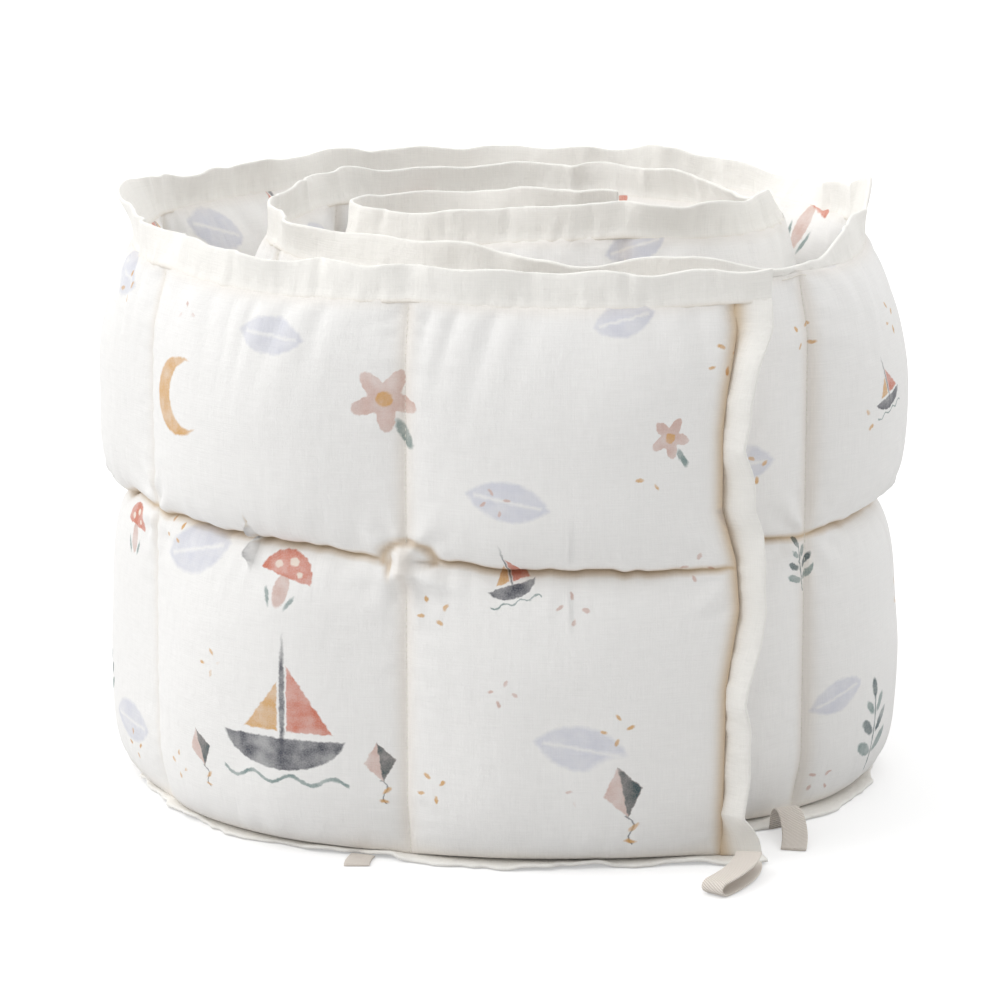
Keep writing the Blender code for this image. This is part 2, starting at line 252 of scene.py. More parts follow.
def strip_middle():
    """The strip's middle line from above: quarter turns end to end, then smoothed."""
    corners = [(x, y) for _, x, y in QUARTERS]
    stretches = [straight_run(corners[0], FREE_END)[::-1][:-1]]
    for index, (side, _, _) in enumerate(QUARTERS[:-1]):
        across = side in ("front", "back")
        stretches.append(quarter_turn(corners[index], corners[index + 1], across))
    stretches.append(straight_run(corners[-1], INNER_END))
    line = evenly(np.vstack(stretches), FINE)
    reach = int(round(2 * SMOOTHING / FINE))
    offsets = np.arange(-reach, reach + 1) * FINE
    weights = np.exp(-0.5 * (offsets / SMOOTHING) ** 2)
    weights /= weights.sum()
    ahead = line[0] - (line[1] - line[0]) * np.arange(reach, 0, -1)[:, None]
    behind = line[-1] + (line[-1] - line[-2]) * np.arange(1, reach + 1)[:, None]
    longer = np.vstack((ahead, line, behind))
    smooth = [np.convolve(longer[:, k], weights, mode="valid") for k in (0, 1)]
    return evenly(np.column_stack(smooth), FINE) + np.array(ROLL_SHIFT)


LINE = strip_middle()
LINE_RUN = length_along(LINE)
LENGTH = float(LINE_RUN[-1])
LINE_ALONG = unit(np.gradient(LINE, axis=0))
LINE_OUT = np.column_stack((-LINE_ALONG[:, 1], LINE_ALONG[:, 0]))
CELL = (LENGTH - 2 * END_BAND) / CELLS
# Rolling draws the outer cells a little longer and leaves the inner ones shorter.
CELL_DRIFT = 0.054
SEAM_NUMBERS = np.arange(CELLS + 1)
DRIFTS = CELL_DRIFT * np.sin(math.pi * SEAM_NUMBERS / CELLS) ** 4
SEAM_RUNS = END_BAND + CELL * SEAM_NUMBERS + DRIFTS
print("strip length", round(LENGTH, 4), "m, cells of", np.diff(SEAM_RUNS).round(3), "m")

# %% [markdown]
# ## Placing things on the strip
# One function turns run, out and height into world points, for whole arrays at once. A piece that
# is built with it follows the roll by itself, and a piece stays in step with the CAD solid, which
# is placed in the same way.


# %% From the strip to the world
def frame_at(run):
    """The middle point, the direction along and the direction out of the strip, each (..., 2)."""
    run = np.asarray(run, float)
    middle, outward = (np.stack([np.interp(run, LINE_RUN, line[:, k]) for k in (0, 1)], axis=-1)
                       for line in (LINE, LINE_OUT))
    outward = unit(outward)
    along = np.stack([outward[..., 1], -outward[..., 0]], axis=-1)
    return middle, along, outward


def place(run, out, height):
    """World points for arrays of run, out and height, which are broadcast together."""
    run, out, height = np.broadcast_arrays(run, out, height)
    middle, _, outward = frame_at(run + read(END_SWAY, height) * near(run - END_BAND, SWAY_REACH))
    flat = middle + outward * out[..., None]
    return np.concatenate((flat, height[..., None]), axis=-1)


def room(side):
    """Half of the space between each point of the route and the next turn, on one side."""
    away = LINE[None, :, :] - LINE[:, None, :]
    distance = np.linalg.norm(away, axis=2)
    facing = side * (away * LINE_OUT[:, None, :]).sum(axis=2) > 0.5 * distance
    other = np.abs(LINE_RUN[None, :] - LINE_RUN[:, None]) > 0.10
    return np.where(facing & other, distance, 1.0).min(axis=1) / 2


ROOM = {side: room(side) for side in (1, -1)}


def space(run, side):
    """How much space there is for a cell at run, between the seam and the next turn."""
    free = ROOM[side] - TURN_GAP - SEAM_THICK / 2
    least = np.min([np.roll(free, k)[3:-3] for k in range(-3, 4)], axis=0)
    return np.interp(run, LINE_RUN[3:-3], least)


def swell(run, side):
    """How far full cells swell at run: the full puff, or less in a tight place."""
    full = OUTER_PUFF if side > 0 else INNER_PUFF + TIGHT_PUFF * run / LENGTH
    return np.minimum(space(run, side), full)


def cell_place(run):
    """The number of run's cell, and where run lies in it, from -1 at one seam to 1 at the next."""
    count = np.interp(run, SEAM_RUNS, SEAM_NUMBERS)
    number = np.clip(np.floor(count), 0, CELLS - 1)
    return number.astype(int), 2 * (count - number) - 1


def to_seam(run):
    """Distance from run to the nearest crosswise seam."""
    number, share = cell_place(run)
    return (1 - np.abs(share)) / 2 * np.diff(SEAM_RUNS)[number]


def top_edge(run):
    """Height of the quilt's top edge, which sinks a little between crosswise seams.

    The innermost front turn has crept up out of the roll, as a bell curve with a flat top.
    """
    top = QUILT_TOP + CREEP * np.exp(-((run - CREEP_RUN) / CREEP_REACH) ** 4)
    inside = (run > END_BAND) & (run < LENGTH - END_BAND)
    return top - TOP_DIP * np.where(inside, 1 - cell_place(run)[1] ** 2, 0)


print("a place in the middle of the front:", place(0.1, 0.0, 0.1).round(3))

# %% [markdown]
# ## From a grid of points to a mesh
# Each piece is a grid: columns along the strip, and in each column a ring of points that runs up
# the outer face and down the inner one. The ring closes on itself, and a ladder of faces closes
# the first and the last column, so every piece is a closed body with its faces pointing out.
# foreach_set fills the mesh in one go.


# %% A helper that makes the meshes
def ring_mesh(name, rings, cloth_map, painted_shade=0.0, bake_map=None):
    """A closed piece from rings, (columns, around, 3).

    cloth_map is (columns, around + 1, 2). The third argument is the painted seam shade of each
    point, from 0 to 1, by how deep in a seam it lies. bake_map has a row for each corner of each
    face.
    """
    columns, around, _ = rings.shape
    index = np.arange(columns * around).reshape(columns, around)
    after = np.roll(index, -1, axis=1)
    quads = np.stack((index[:-1], after[:-1], after[1:], index[1:]), axis=-1).reshape(-1, 4)
    low = np.arange(around // 2 - 1)
    ends = []
    for ring, turn in ((index[0], -1), (index[-1], 1)):
        ladder = np.stack((ring[low], ring[low + 1], ring[-2 - low], ring[-1 - low]), axis=-1)
        ends.append(ladder[:, ::turn])
    faces = np.concatenate([quads, *ends])
    points = rings.reshape(-1, 3)
    a, b, c, d = (points[faces[:, k]] for k in range(4))
    volume = (a * (np.cross(b, c) + np.cross(c, d))).sum() / 6
    if volume < 0:
        faces = faces[:, ::-1]
    mesh = bpy.data.meshes.new(name)
    mesh.vertices.add(columns * around)
    mesh.vertices.foreach_set("co", rings.astype(np.float32).ravel())
    mesh.loops.add(faces.size)
    mesh.loops.foreach_set("vertex_index", faces.astype(np.int32).ravel())
    mesh.polygons.add(len(faces))
    mesh.polygons.foreach_set("loop_start", np.arange(0, faces.size, 4, dtype=np.int32))
    mesh.update(calc_edges=True)
    turned = slice(None, None, -1 if volume < 0 else 1)
    sides = (cloth_map[:-1, :-1], cloth_map[:-1, 1:], cloth_map[1:, 1:], cloth_map[1:, :-1])
    for map_name, corners in (("Cloth", np.stack(sides, axis=2)), ("OFBake", bake_map)):
        if corners is None:
            continue
        corners = corners.reshape(-1, 4, 2)[:, turned].reshape(-1, 2)
        rest = np.repeat(corners[:1], faces.size - len(corners), axis=0)
        layer = mesh.uv_layers.new(name=map_name)
        layer.uv.foreach_set("vector", np.concatenate((corners, rest)).astype(np.float32).ravel())
    # Painted shade in seams, from 0 to 1, kept on each point for the material to darken the cloth
    # with.
    painted_shades = np.broadcast_to(painted_shade, rings.shape[:2]).astype(np.float32)
    mesh.attributes.new("Seam", "FLOAT", "POINT").data.foreach_set("value", painted_shades.ravel())
    mesh.shade_smooth()
    mesh.validate()
    print(name, "has", len(faces), "faces and holds", round(abs(volume) * 1e6), "cubic cm")
    return add_object(name, mesh)

# %% [markdown]
# ## The padded strip
# In each cell the muslin is cut larger than the space between its seams, so the filling swells it
# and the spare cloth gathers in small puckers along the stitching. Displacing a grid by a plain
# noise would only look bumpy, because a gather has a direction: it stands square to its line of
# stitching, is strongest a few millimetres from it, and fades into the swollen middle. Each line
# of stitching therefore gets its own row of folds, with round crests and narrow valleys.

# %% How the cells are cut and filled
PER_ROW = 50              # points up each of the two rows
SEAM_PULL = 0.006         # how far the bend pulls a crosswise seam out of the strip's middle

# How full each cell of the outer turn is, counted from the free end.
FILLS = (
    # lower, upper
    (0.96, 1.00),
    (0.96, 1.00),
    (0.72, 0.94),
    (0.80, 1.00),
    (0.92, 1.00),
    (0.96, 1.10),
    (1.03, 1.17),
    (0.90, 0.90),
)
# The lengthwise seam isn't level: how far it lies above or below its height at run.
CREASE_RISE = (
    # run, rise
    (0.00, 0.001),
    (0.10, 0.002),
    (0.17, 0.005),
    (0.27, 0.009),
    (0.36, 0.010),
    (0.45, -0.004),
    (0.55, 0.001),
    (0.75, 0.003),
    (0.95, -0.002),
    (1.10, 0.001),
    (3.00, 0.000),
)


def crease(run):
    """Height of the lengthwise seam at run: the table's, and small waves."""
    waves = 0.0012 * wander(run, 0.017, 5) + 0.0006 * wander(run, 0.006, 6)
    return CROSS_SEAM_Z + read(CREASE_RISE, run) + waves


def fill_of(number, row):
    """How full a cell is: the table's value on the outer turn, and an even swing further in."""
    table = np.array(FILLS)
    known = number < len(FILLS)
    listed = table[np.where(known, number, 0).astype(int), row.astype(int)]
    return np.where(known, listed, 0.95 + 0.05 * np.sin(2.4 * number + 1.9 * row))


def puff(along, up, row):
    """Share of the full swelling at a place in a cell, both from -1 to 1.

    It is nothing at the seams. Along the strip it rises softly from one seam and more steeply
    from the next. Up the cell it rises steeply from the floor and from the crease, and gently
    from the top band. Its crown sits a little low.
    """
    sunk = up + 0.14 * (1 - up ** 2)
    floor_side = (1 - np.abs(sunk) ** 3.6) ** 0.5
    crease_side = (1 - np.abs(sunk) ** (2.5 + 1.2 * (1 - along ** 2))) ** 0.44
    band_side = (1 - np.abs(sunk) ** 2.3) ** 0.75
    low_row = np.where(sunk < 0, floor_side, crease_side)
    high_row = np.where(sunk < 0, crease_side, band_side)
    soft = (1 - np.abs(along) ** 2.3) ** 1.05
    steep = (1 - np.abs(along) ** 2.6) ** 0.6
    return np.where(along < 0, soft, steep) * np.where(row == 0, low_row, high_row)


def seam_out(runs, height):
    """How far the strip's middle is pulled out near a crosswise seam, fading at both edges."""
    pull = SEAM_PULL * np.minimum(swell(runs, 1) / OUTER_PUFF, 1) * near(to_seam(runs), 0.025)
    fade = np.clip(np.minimum(height - BAND_THICK, top_edge(runs) - height) / 0.035, 0, 1)
    return pull * soft_step(fade)


print("the lengthwise seam is", round(float(crease(0.1)), 4), "m up in the middle of the front")

# %% [markdown]
# Each line of stitching has its own kind of fold: far apart and long under the standing band,
# where the cloth is gathered most, and short and close together at the other seams. Where two
# seams cross, the spare cloth bunches in a ring, and at one crossing on the front it is caught up
# in a knot.

# %% Gathers along a line of stitching
GATHERS = {
    # line of stitching: spacing of the folds, height of a fold, reach from the line, metres
    "top": (0.021, 0.0034, 0.026),
    "crease": (0.016, 0.0016, 0.015),
    "foot": (0.018, 0.0018, 0.016),
    "side": (0.0115, 0.0016, 0.018),
}
KNOT_SEAM = 1             # the crosswise seam with the knot, counted from the free end


def gather(line, x, distance, seed):
    """A row of folds: the root of 0.12 plus a squared sine of an uneven count, less its mean.

    x runs along the line of stitching, and distance is how far a point is from it. Each fold has
    its own strength and lean, and it fades with the distance over the reach.
    """
    spacing, size, reach = GATHERS[line]
    lean = 0.45 * wander(x, 2.3 * spacing, seed + 1)
    x = x + lean * distance
    count = x / spacing + 0.45 * wander(x, 1.7 * spacing, seed)
    crest = (np.sin(math.pi * count) ** 2 + 0.12) ** 0.5 - 0.71
    strength = 0.65 + 0.55 * wander(x, 1.3 * spacing, seed + 2)
    length = reach * (1 + 0.4 * wander(x, 1.9 * spacing, seed + 3))
    rise = 1 - near(distance, 0.004)
    return size * crest * strength * rise * np.exp(-(distance / length) ** 1.6)


def crossing(beside, above, seam_number):
    """The knot of cloth where two seams cross: a ring of folds round the crossing.

    beside and above are the distances from it, along the strip and upwards. The ring is a bell
    curve of the distance, broken up by a cosine of the angle.
    """
    distance = np.hypot(beside, above)
    angle = np.arctan2(above, beside)
    wave = 0.45 + 0.5 * np.cos(3 * angle + 1.3 * seam_number)
    wave = wave + 0.35 * np.cos(5 * angle + 2.1 * seam_number)
    rays = np.cos(8 * angle + 1.7 * seam_number) * near(distance - 0.018, 0.010)
    return 0.0018 * wave * near(distance - 0.0100, 0.0050) + 0.0010 * rays


def knot(beside, above):
    """The spare cloth that is caught up at the crossing on the front, and its deepest fold.

    A ridge stands up across the lengthwise seam. A roll of cloth sags below it, and a fold arches
    over it. Each is a bell curve of the distance from a line.
    """
    ridge = 0.0085 * near(beside - 0.0015, 0.0042) * near(above + 0.001, 0.0085)
    sag = above + 0.0110 - 0.0045 * near(beside, 0.014)
    roll = 0.0048 * near(sag, 0.0034) * near(beside, 0.016)
    arch = near(np.hypot((beside + 0.001) / 1.35, above) - 0.0095, 0.0021) * (above > -0.003)
    slit = near(beside - 0.0085, 0.0016) * near(above + 0.002, 0.006)
    deepest = np.maximum(arch, slit)
    return ridge + roll - 0.0042 * deepest, deepest


print("kinds of gathers:", list(GATHERS))

# %% [markdown]
# The strip is split at crosswise seams into two halves of the outer turn and the turns inside it.
# Each part then has enough faces for the puckers, and a second map of its own for baking: a few
# rows, one above the other, that fill its square well.

# %% The parts of the quilt
QUILT_PARTS = (
    # name, first cell, end cell, columns in a cell, rows of its bake map, seed
    ("quilt_outer_front", 0, 4, 120, 2, 11),
    ("quilt_outer_back", 4, 8, 120, 2, 17),
    ("quilt_inner_turns", 8, 15, 66, 3, 23),
)
FAR_SIDE = (3.0, 0.7)     # where the inner face's cloth is taken from the print, metres


def bake_layout(runs, height, bake_rows):
    """A map of both faces for baking: one long row, cut into bake_rows, in a unit square."""
    length = runs[-1] - runs[0]
    row_length = 2 * length / bake_rows
    row_height = HEIGHT * 1.02
    size = max(row_length * 1.02, row_height * bake_rows)
    outer = np.broadcast_to(runs[:, None] - runs[0], height.shape)
    along = np.concatenate((outer, length + outer[:, ::-1]), axis=1)
    # Each face of the mesh belongs to the row of its first column.
    row = np.clip(np.floor(along[:-1] / row_length), 0, bake_rows - 1)
    up = np.concatenate((height, height[:, ::-1]), axis=1)
    corners = []
    for column, point in ((0, 0), (0, 1), (1, 1), (1, 0)):
        shifted = np.roll(up, -point, axis=1)[column:len(up) - 1 + column]
        along_here = along[column:len(along) - 1 + column]
        u = (along_here - row * row_length + 0.002) / size
        v = (shifted + row * row_height + 0.002) / size
        corners.append(np.stack((u, v), axis=-1))
    return np.stack(corners, axis=2).reshape(-1, 2)


print("parts of the quilt:", [name for name, *_ in QUILT_PARTS])

# %% [markdown]
# For each point of a part the script first works out how far it is from the stitching on every
# side, which folds pass there and how much room it has to swell. Both faces are then set out from
# the strip's middle, and every column is closed to a ring.

# %% Make the quilt
LUMP = 0.0012             # how high the uneven filling's lumps are
LUMP_SPACING = 0.034      # and how far apart
SEAM_QUIET = 0.003        # folds and lumps fade out this close to the stitching
END_SEAM_SHADE = 0.9          # painted shade in the free end's seam
CROSS_SEAM_SHADE = 0.22        # painted shade in the other crosswise seams, of the lengthwise seam's 1


def quilt_part(name, first, last, per_cell, bake_rows, seed):
    """The cells from first up to last, as one closed padded piece."""
    column = np.arange((last - first) * per_cell + 1)
    runs = np.interp(first + column / per_cell, SEAM_NUMBERS, SEAM_RUNS)
    along = (2 * (column % per_cell) / per_cell - 1)[:, None]
    number = np.minimum(first + column // per_cell, last - 1)[:, None]
    widths = np.diff(SEAM_RUNS)[number]
    runs[0] += GAP
    runs[-1] -= GAP
    # Points lie closer together beside the stitching, where the cloth bends most.
    steps = np.sin(1.15 * np.linspace(-1, 1, PER_ROW + 1)) / math.sin(1.15)
    up = np.r_[steps[:-1], steps][None, :]
    row = np.r_[np.zeros(PER_ROW), np.ones(PER_ROW + 1)][None, :]
    foot = BAND_THICK + GAP
    seam_z = crease(runs)[:, None]
    top = top_edge(runs)[:, None]
    low = np.where(row == 0, foot, seam_z)
    high = np.where(row == 0, seam_z, top)
    height = low + (high - low) * (up + 1) / 2
    share = puff(along, up, row) * fill_of(number, row)
    middle = seam_out(runs[:, None], height)
    from_top, from_crease = top - height, np.abs(height - seam_z)
    from_foot, from_seam = height - foot, (1 - np.abs(along)) * widths / 2
    across_run = runs[:, None]
    beside = along * widths / 2 - np.sign(along) * widths / 2
    count = 2 * (first + column / per_cell)[:, None]
    folds = crossing(beside, height - seam_z, number + (along > 0))
    for line, x, distance, salt in (
            ("top", across_run, from_top, 0),
            ("foot", across_run, from_foot, 30),
            ("crease", across_run + 5.3 * row, from_crease, 40),
            ("side", height + 1.7 * np.round(count), from_seam, 50)):
        folds = folds + gather(line, x, distance, seed + salt)
    lumps = LUMP * wander_2d(across_run, height, LUMP_SPACING, seed + 5) * share
    # Folds shrink where there is little room to swell, and stop at every seam.
    to_stitching = np.minimum(np.minimum(from_top, from_foot), np.minimum(from_crease, from_seam))
    room_left = 1 - near(to_stitching, SEAM_QUIET)
    caught, deepest = knot(beside, height - seam_z)
    on_front = number + (along > 0) == KNOT_SEAM
    faces = []
    for side in (1, -1):
        limit = swell(runs, side)[:, None]
        ease = np.minimum(limit / OUTER_PUFF, 1) * room_left
        start = SEAM_THICK / 2 + (limit - side * middle) * share + (folds + lumps) * ease
        if side == 1:
            start = start + caught * on_front
        most = SEAM_THICK / 2 + space(runs, side)[:, None] + TURN_GAP / 2
        out = np.minimum(np.maximum(start, SEAM_THICK / 2 - 0.0004), most)
        faces.append(place(across_run, middle + side * out, height))
    rings = np.concatenate((faces[0], faces[1][:, ::-1]), axis=1)
    face_map = np.stack(np.broadcast_arrays(across_run, height), axis=-1)
    far_map = face_map[:, ::-1] + FAR_SIDE
    cloth_map = np.concatenate((face_map, far_map, far_map[:, -1:]), axis=1)
    # Painted shade from 0 to 1 deep in the seams, in the knot's deepest fold, under the band and at
    # the foot.
    seam_shade_strength = np.where(number + (along > 0) == 0, END_SEAM_SHADE, CROSS_SEAM_SHADE)
    crease_shade = near(from_crease, 0.0018) * (1 - on_front * near(beside, 0.012))
    painted_shades = (seam_shade_strength * near(from_seam, 0.0045), crease_shade, 0.8 * deepest * on_front,
            0.15 * near(from_top, 0.004), 0.25 * near(from_foot, 0.006))
    painted_shade = np.max(np.broadcast_arrays(*painted_shades), axis=0)
    painted_shade = np.concatenate((painted_shade, np.minimum(painted_shade, 0.6)[:, ::-1]), axis=1)
    return ring_mesh(name, rings, cloth_map, painted_shade, bake_layout(runs, height, bake_rows))


quilts = [quilt_part(*row) for row in QUILT_PARTS]

# %% [markdown]
# ## The standing band
# A strip of plain muslin is folded over the quilt's raw top edge and topstitched. It stands up
# because it is four layers thick, and it leans, ripples and folds where the roll shortens it. It
# is a profile carried along the strip: up the outer face, round the folded edge, down the inner
# face. Its folds are nearly those of the CAD band, with the finer waves of real cloth added.

# %% How the band leans
TOP_FOLDS = (
    # run, half_length, lean, sink
    (0.020, 0.060, 0.004, 0.001),
    (0.330, 0.060, -0.006, 0.001),
    (0.455, 0.080, 0.010, -0.006),
    (0.830, 0.030, 0.001, -0.003),
    (0.920, 0.060, 0.007, 0.007),
    (1.020, 0.030, 0.004, -0.009),
    (1.170, 0.075, -0.003, 0.014),
    (1.290, 0.070, 0.006, 0.006),
    (1.620, 0.050, 0.004, -0.001),
    (1.885, 0.070, -0.010, 0.008),
    (1.950, 0.080, -0.006, 0.001),
    (2.180, 0.060, -0.004, 0.001),
)
BAND_TUCK = 0.0025        # how far the band reaches down over the quilt's edge
CLOTH_HALF = 0.0011       # half of the band's thickness, away from the seam
SEAM_HALF = 0.0025        # and where it wraps the quilt's edge
TOPSTITCH_SHARE = 0.11    # where it is stitched, of its width


def table_folds(run, column):
    """The table's folds at run, added up: each is a squared cosine over its length."""
    return sum(row[column] * np.cos(np.clip((run - row[0]) / row[1], -1, 1) * math.pi / 2) ** 2
               for row in TOP_FOLDS)


def band_lean(run):
    """How far the band's upper edge leans out: the table's folds and uneven waves."""
    waves = 0.0010 * np.sin(2 * math.pi * run / 0.061) + 0.002 * np.sin(2 * math.pi * run / 0.143)
    uneven = 0.0030 * wander(run, 0.033, 31) + 0.0006 * wander(run, 0.012, 32)
    return table_folds(run, 2) + waves + uneven


def band_tuck(run):
    """Narrow tucks about five centimetres apart, where the band is longer than its place."""
    count = run / 0.052 + 0.45 * wander(run, 0.11, 61)
    strength = 0.0022 * np.clip(0.35 + wander(run, 0.05, 62), -0.6, 1)
    return -strength * near((count % 1 - 0.5) * 0.052, 0.0034)


def band_sink(run):
    """How far the upper edge sinks, in the same way."""
    waves = 0.0008 * (1 + np.sin(2 * math.pi * run / 0.047))
    uneven = 0.0012 * wander(run, 0.028, 33) + 0.0004 * wander(run, 0.010, 35)
    return table_folds(run, 3) + waves + uneven


def band_point(run, share, turn=0.0, lift=0.0):
    """Points of the standing band: share is 0 at its foot and 1 at its fold.

    turn goes round the cloth's thickness: 0 is the outer face, 90 degrees the fold's top and 180
    the inner face. lift raises a point off the cloth.
    """
    run, share, turn = np.broadcast_arrays(run, share, turn)
    foot = top_edge(run) - BAND_TUCK
    ripple = 0.0007 * wander(run, 0.0048, 34) * near(share - 0.3, 0.30)
    pleat = near(to_seam(run), 0.006)
    tuck = band_tuck(run)

    def middle(at):
        out = (band_lean(run) - 0.003 * pleat) * at ** 1.5 + ripple + tuck * at ** 0.8
        rise = BAND_WIDTH + BAND_TUCK + TOP_DIP / 2 - band_sink(run) - 0.0012 * pleat
        return out, foot + rise * at

    out, height = middle(share)
    ahead_out, ahead_height = middle(share + 0.01)
    slope = unit(np.stack((ahead_out - out, ahead_height - height), axis=-1))
    half = CLOTH_HALF + (SEAM_HALF - CLOTH_HALF) * near(share - 0.04, 0.16) + lift
    half = half - 0.0015 * near(share, 0.02) - 0.0005 * near(share - TOPSTITCH_SHARE, 0.03)
    across, above = half * np.cos(turn), half * np.sin(turn)
    out = out + across * slope[..., 1] + above * slope[..., 0]
    height = height - across * slope[..., 0] + above * slope[..., 1]
    return place(run, out, height)


print("the band leans out by up to", round(float(band_lean(LINE_RUN).max()), 4), "m")

# %% [markdown]
# The band's profile is a list of places on it: up the outer face, round the fold in steps of 36
# degrees, and down the inner face. The end bands further on use the same profile.

# %% Make the standing band
FOLD_TURNS = np.radians((0, 36, 72, 108, 144, 180))


def profile_round_edge(steps):
    """Share and turn of each point of a profile: up one face, round the fold, down the other."""
    rise = np.linspace(0, 1, steps) ** 1.4
    share = np.r_[rise[:-1], np.ones(len(FOLD_TURNS)), rise[:-1][::-1]]
    turn = np.r_[np.zeros(steps - 1), FOLD_TURNS, np.full(steps - 1, math.pi)]
    return share[None, :], turn[None, :]


def flat_map(along, across, width):
    """A cloth map in metres from each column's place and each ring point's share of the width."""
    grid = np.stack(np.broadcast_arrays(along[:, None], across * width), axis=-1)
    return np.concatenate((grid, grid[:, :1]), axis=1)


band_runs = np.linspace(0.0002, LENGTH - 0.0002, 1600)
share, turn = profile_round_edge(13)
# The last argument is painted shade along the band's foot, where it meets the quilt.
top_band = ring_mesh("top_band_cloth", band_point(band_runs[:, None], share, turn),
                     flat_map(band_runs, share + turn / 9, BAND_WIDTH), 0.3 * near(share, 0.10))

# %% [markdown]
# ## The band under the roll
# The same band runs along the lower edge, where the roll's weight lays it flat. Its outer edge
# peeks out from under the puffed cells here and there. It is a flat ribbon with a round edge
# that lifts a little off the floor in places.

# %% The lower band
FOOT_REACH = (
    # run, reach
    (0.00, 0.013),
    (0.06, 0.010),
    (0.13, 0.016),
    (0.20, 0.006),
    (0.27, 0.011),
    (0.36, 0.005),
    (0.60, 0.006),
    (0.85, 0.009),
    (1.04, 0.011),
    (1.14, 0.016),
    (1.22, 0.016),
    (1.34, 0.006),
    (3.00, 0.005),
)


def foot_reach(run):
    """How far the band under the roll reaches outwards at run."""
    return read(FOOT_REACH, run) + 0.0012 * np.sin(2 * math.pi * run / 0.052)


def lower_band_point(run, share, turn):
    """Points of the lower band: share is 0 under the quilt and 1 at its fold, as for the top."""
    run, share, turn = np.broadcast_arrays(run, share, turn)
    half = BAND_THICK / 2
    reach = foot_reach(run) + 0.0012 * wander(run, 0.006, 41) - half
    out = reach - BAND_WIDTH * (1 - share) + half * np.sin(turn)
    lift = 0.0022 * np.clip(wander(run, 0.017, 42), 0, 1) * share ** 2
    height = half + half * np.cos(turn) + lift
    return place(run, out, height)


lower_band = ring_mesh("bottom_band_cloth", lower_band_point(band_runs[:, None], share, turn),
                       flat_map(band_runs, share + turn / 9, BAND_WIDTH))

# %% [markdown]
# ## The bands down the two ends
# At the free end the band stands out from the roll and then curls over, away from the cells, so a
# deep shadowed valley runs along its seam. Its direction is worked out at each step from the seam
# to the edge: it leaves the seam steeply and turns back towards the strip's own direction.

# %% The end bands
END_CURL = (
    # height, turn in degrees, the mean of the root's and the edge's
    (0.000, 5.0),
    (0.012, 30.0),
    (0.025, 68.0),
    (0.053, 52.0),
    (0.083, 64.0),
    (0.114, 49.0),
    (0.140, 44.0),
    (0.168, 34.0),
    (0.190, 40.0),
    (0.212, 60.0),
    (0.235, 58.0),
    (0.258, 42.0),
    (0.274, 16.0),
    (0.286, 1.0),
)
CURL_SPREAD = 34.0        # degrees between that mean and the root, or the edge
CURL_STEPS = 40           # steps across the band, added up from the seam


def end_band(name, seam_run, direction, curl, seed):
    """The band down one end, from the seam at seam_run to its folded edge."""
    heights = np.linspace(BAND_THICK + GAP, QUILT_TOP, 190)[:, None]
    across, turn = profile_round_edge(9)
    mean = read(curl, heights) + 5 * wander(heights, 0.014, seed) if curl else 0 * heights
    spread = np.minimum(CURL_SPREAD, mean)
    fine = np.linspace(0, 1, CURL_STEPS + 1)[None, :]
    angle = np.radians(mean + spread * (1 - 2 * fine))
    step = (END_BAND - GAP - CLOTH_HALF) / CURL_STEPS
    index = np.round(across * CURL_STEPS).astype(int)[0]
    forward, sideways = (
        np.concatenate((0 * heights, np.cumsum(way(angle[:, 1:]) * step, axis=1)), axis=1)[:, index]
        for way in (np.cos, np.sin))
    angle = angle[:, index]
    pucker = 0.0006 * wander(heights, 0.005, seed + 1) * near(across - 0.3, 0.3)
    half = CLOTH_HALF + (SEAM_HALF - CLOTH_HALF) * near(across, 0.16)
    half = half * (1 - 0.72 * near(heights - heights[-1], 0.0035))
    level, above = half * np.cos(turn) + pucker, half * np.sin(turn)
    run = seam_run + direction * (forward - level * np.sin(angle) + above * np.cos(angle))
    out = sideways + level * np.cos(angle) + above * np.sin(angle)
    rings = place(run, out, np.broadcast_to(heights, run.shape))
    cloth_map = flat_map(heights[:, 0], across + turn / 9, END_BAND)
    # The last argument is painted shade in the valley along the band's seam.
    return ring_mesh(name, rings, cloth_map, 0.9 * near(across, 0.28))


end_outer = end_band("end_band_outer_cloth", END_BAND, -1, END_CURL, 51)
end_inner = end_band("end_band_inner_cloth", LENGTH - END_BAND, 1, None, 53)

# %% [markdown]
# ## The tapes
# Three short twill tapes for tying the bumper to a cot show at its foot. Each is a flat ribbon
# carried along its route on the floor. The front one is folded back over itself in a small loop.

# %% Tapes
TAPE_WIDTH = 0.013
TAPE_THICK = 0.0013
TIES = (
    # name, run, length, swing, folded back, height of its hump
    ("tie_front", 0.010, 0.042, -0.023, 0.032, 0.002),
    ("tie_right", 1.190, 0.034, -0.016, 0.000, 0.012),
    ("tie_left", 0.200, 0.016, 0.003, 0.000, 0.000),
)
FOLD_RADIUS = 0.0032


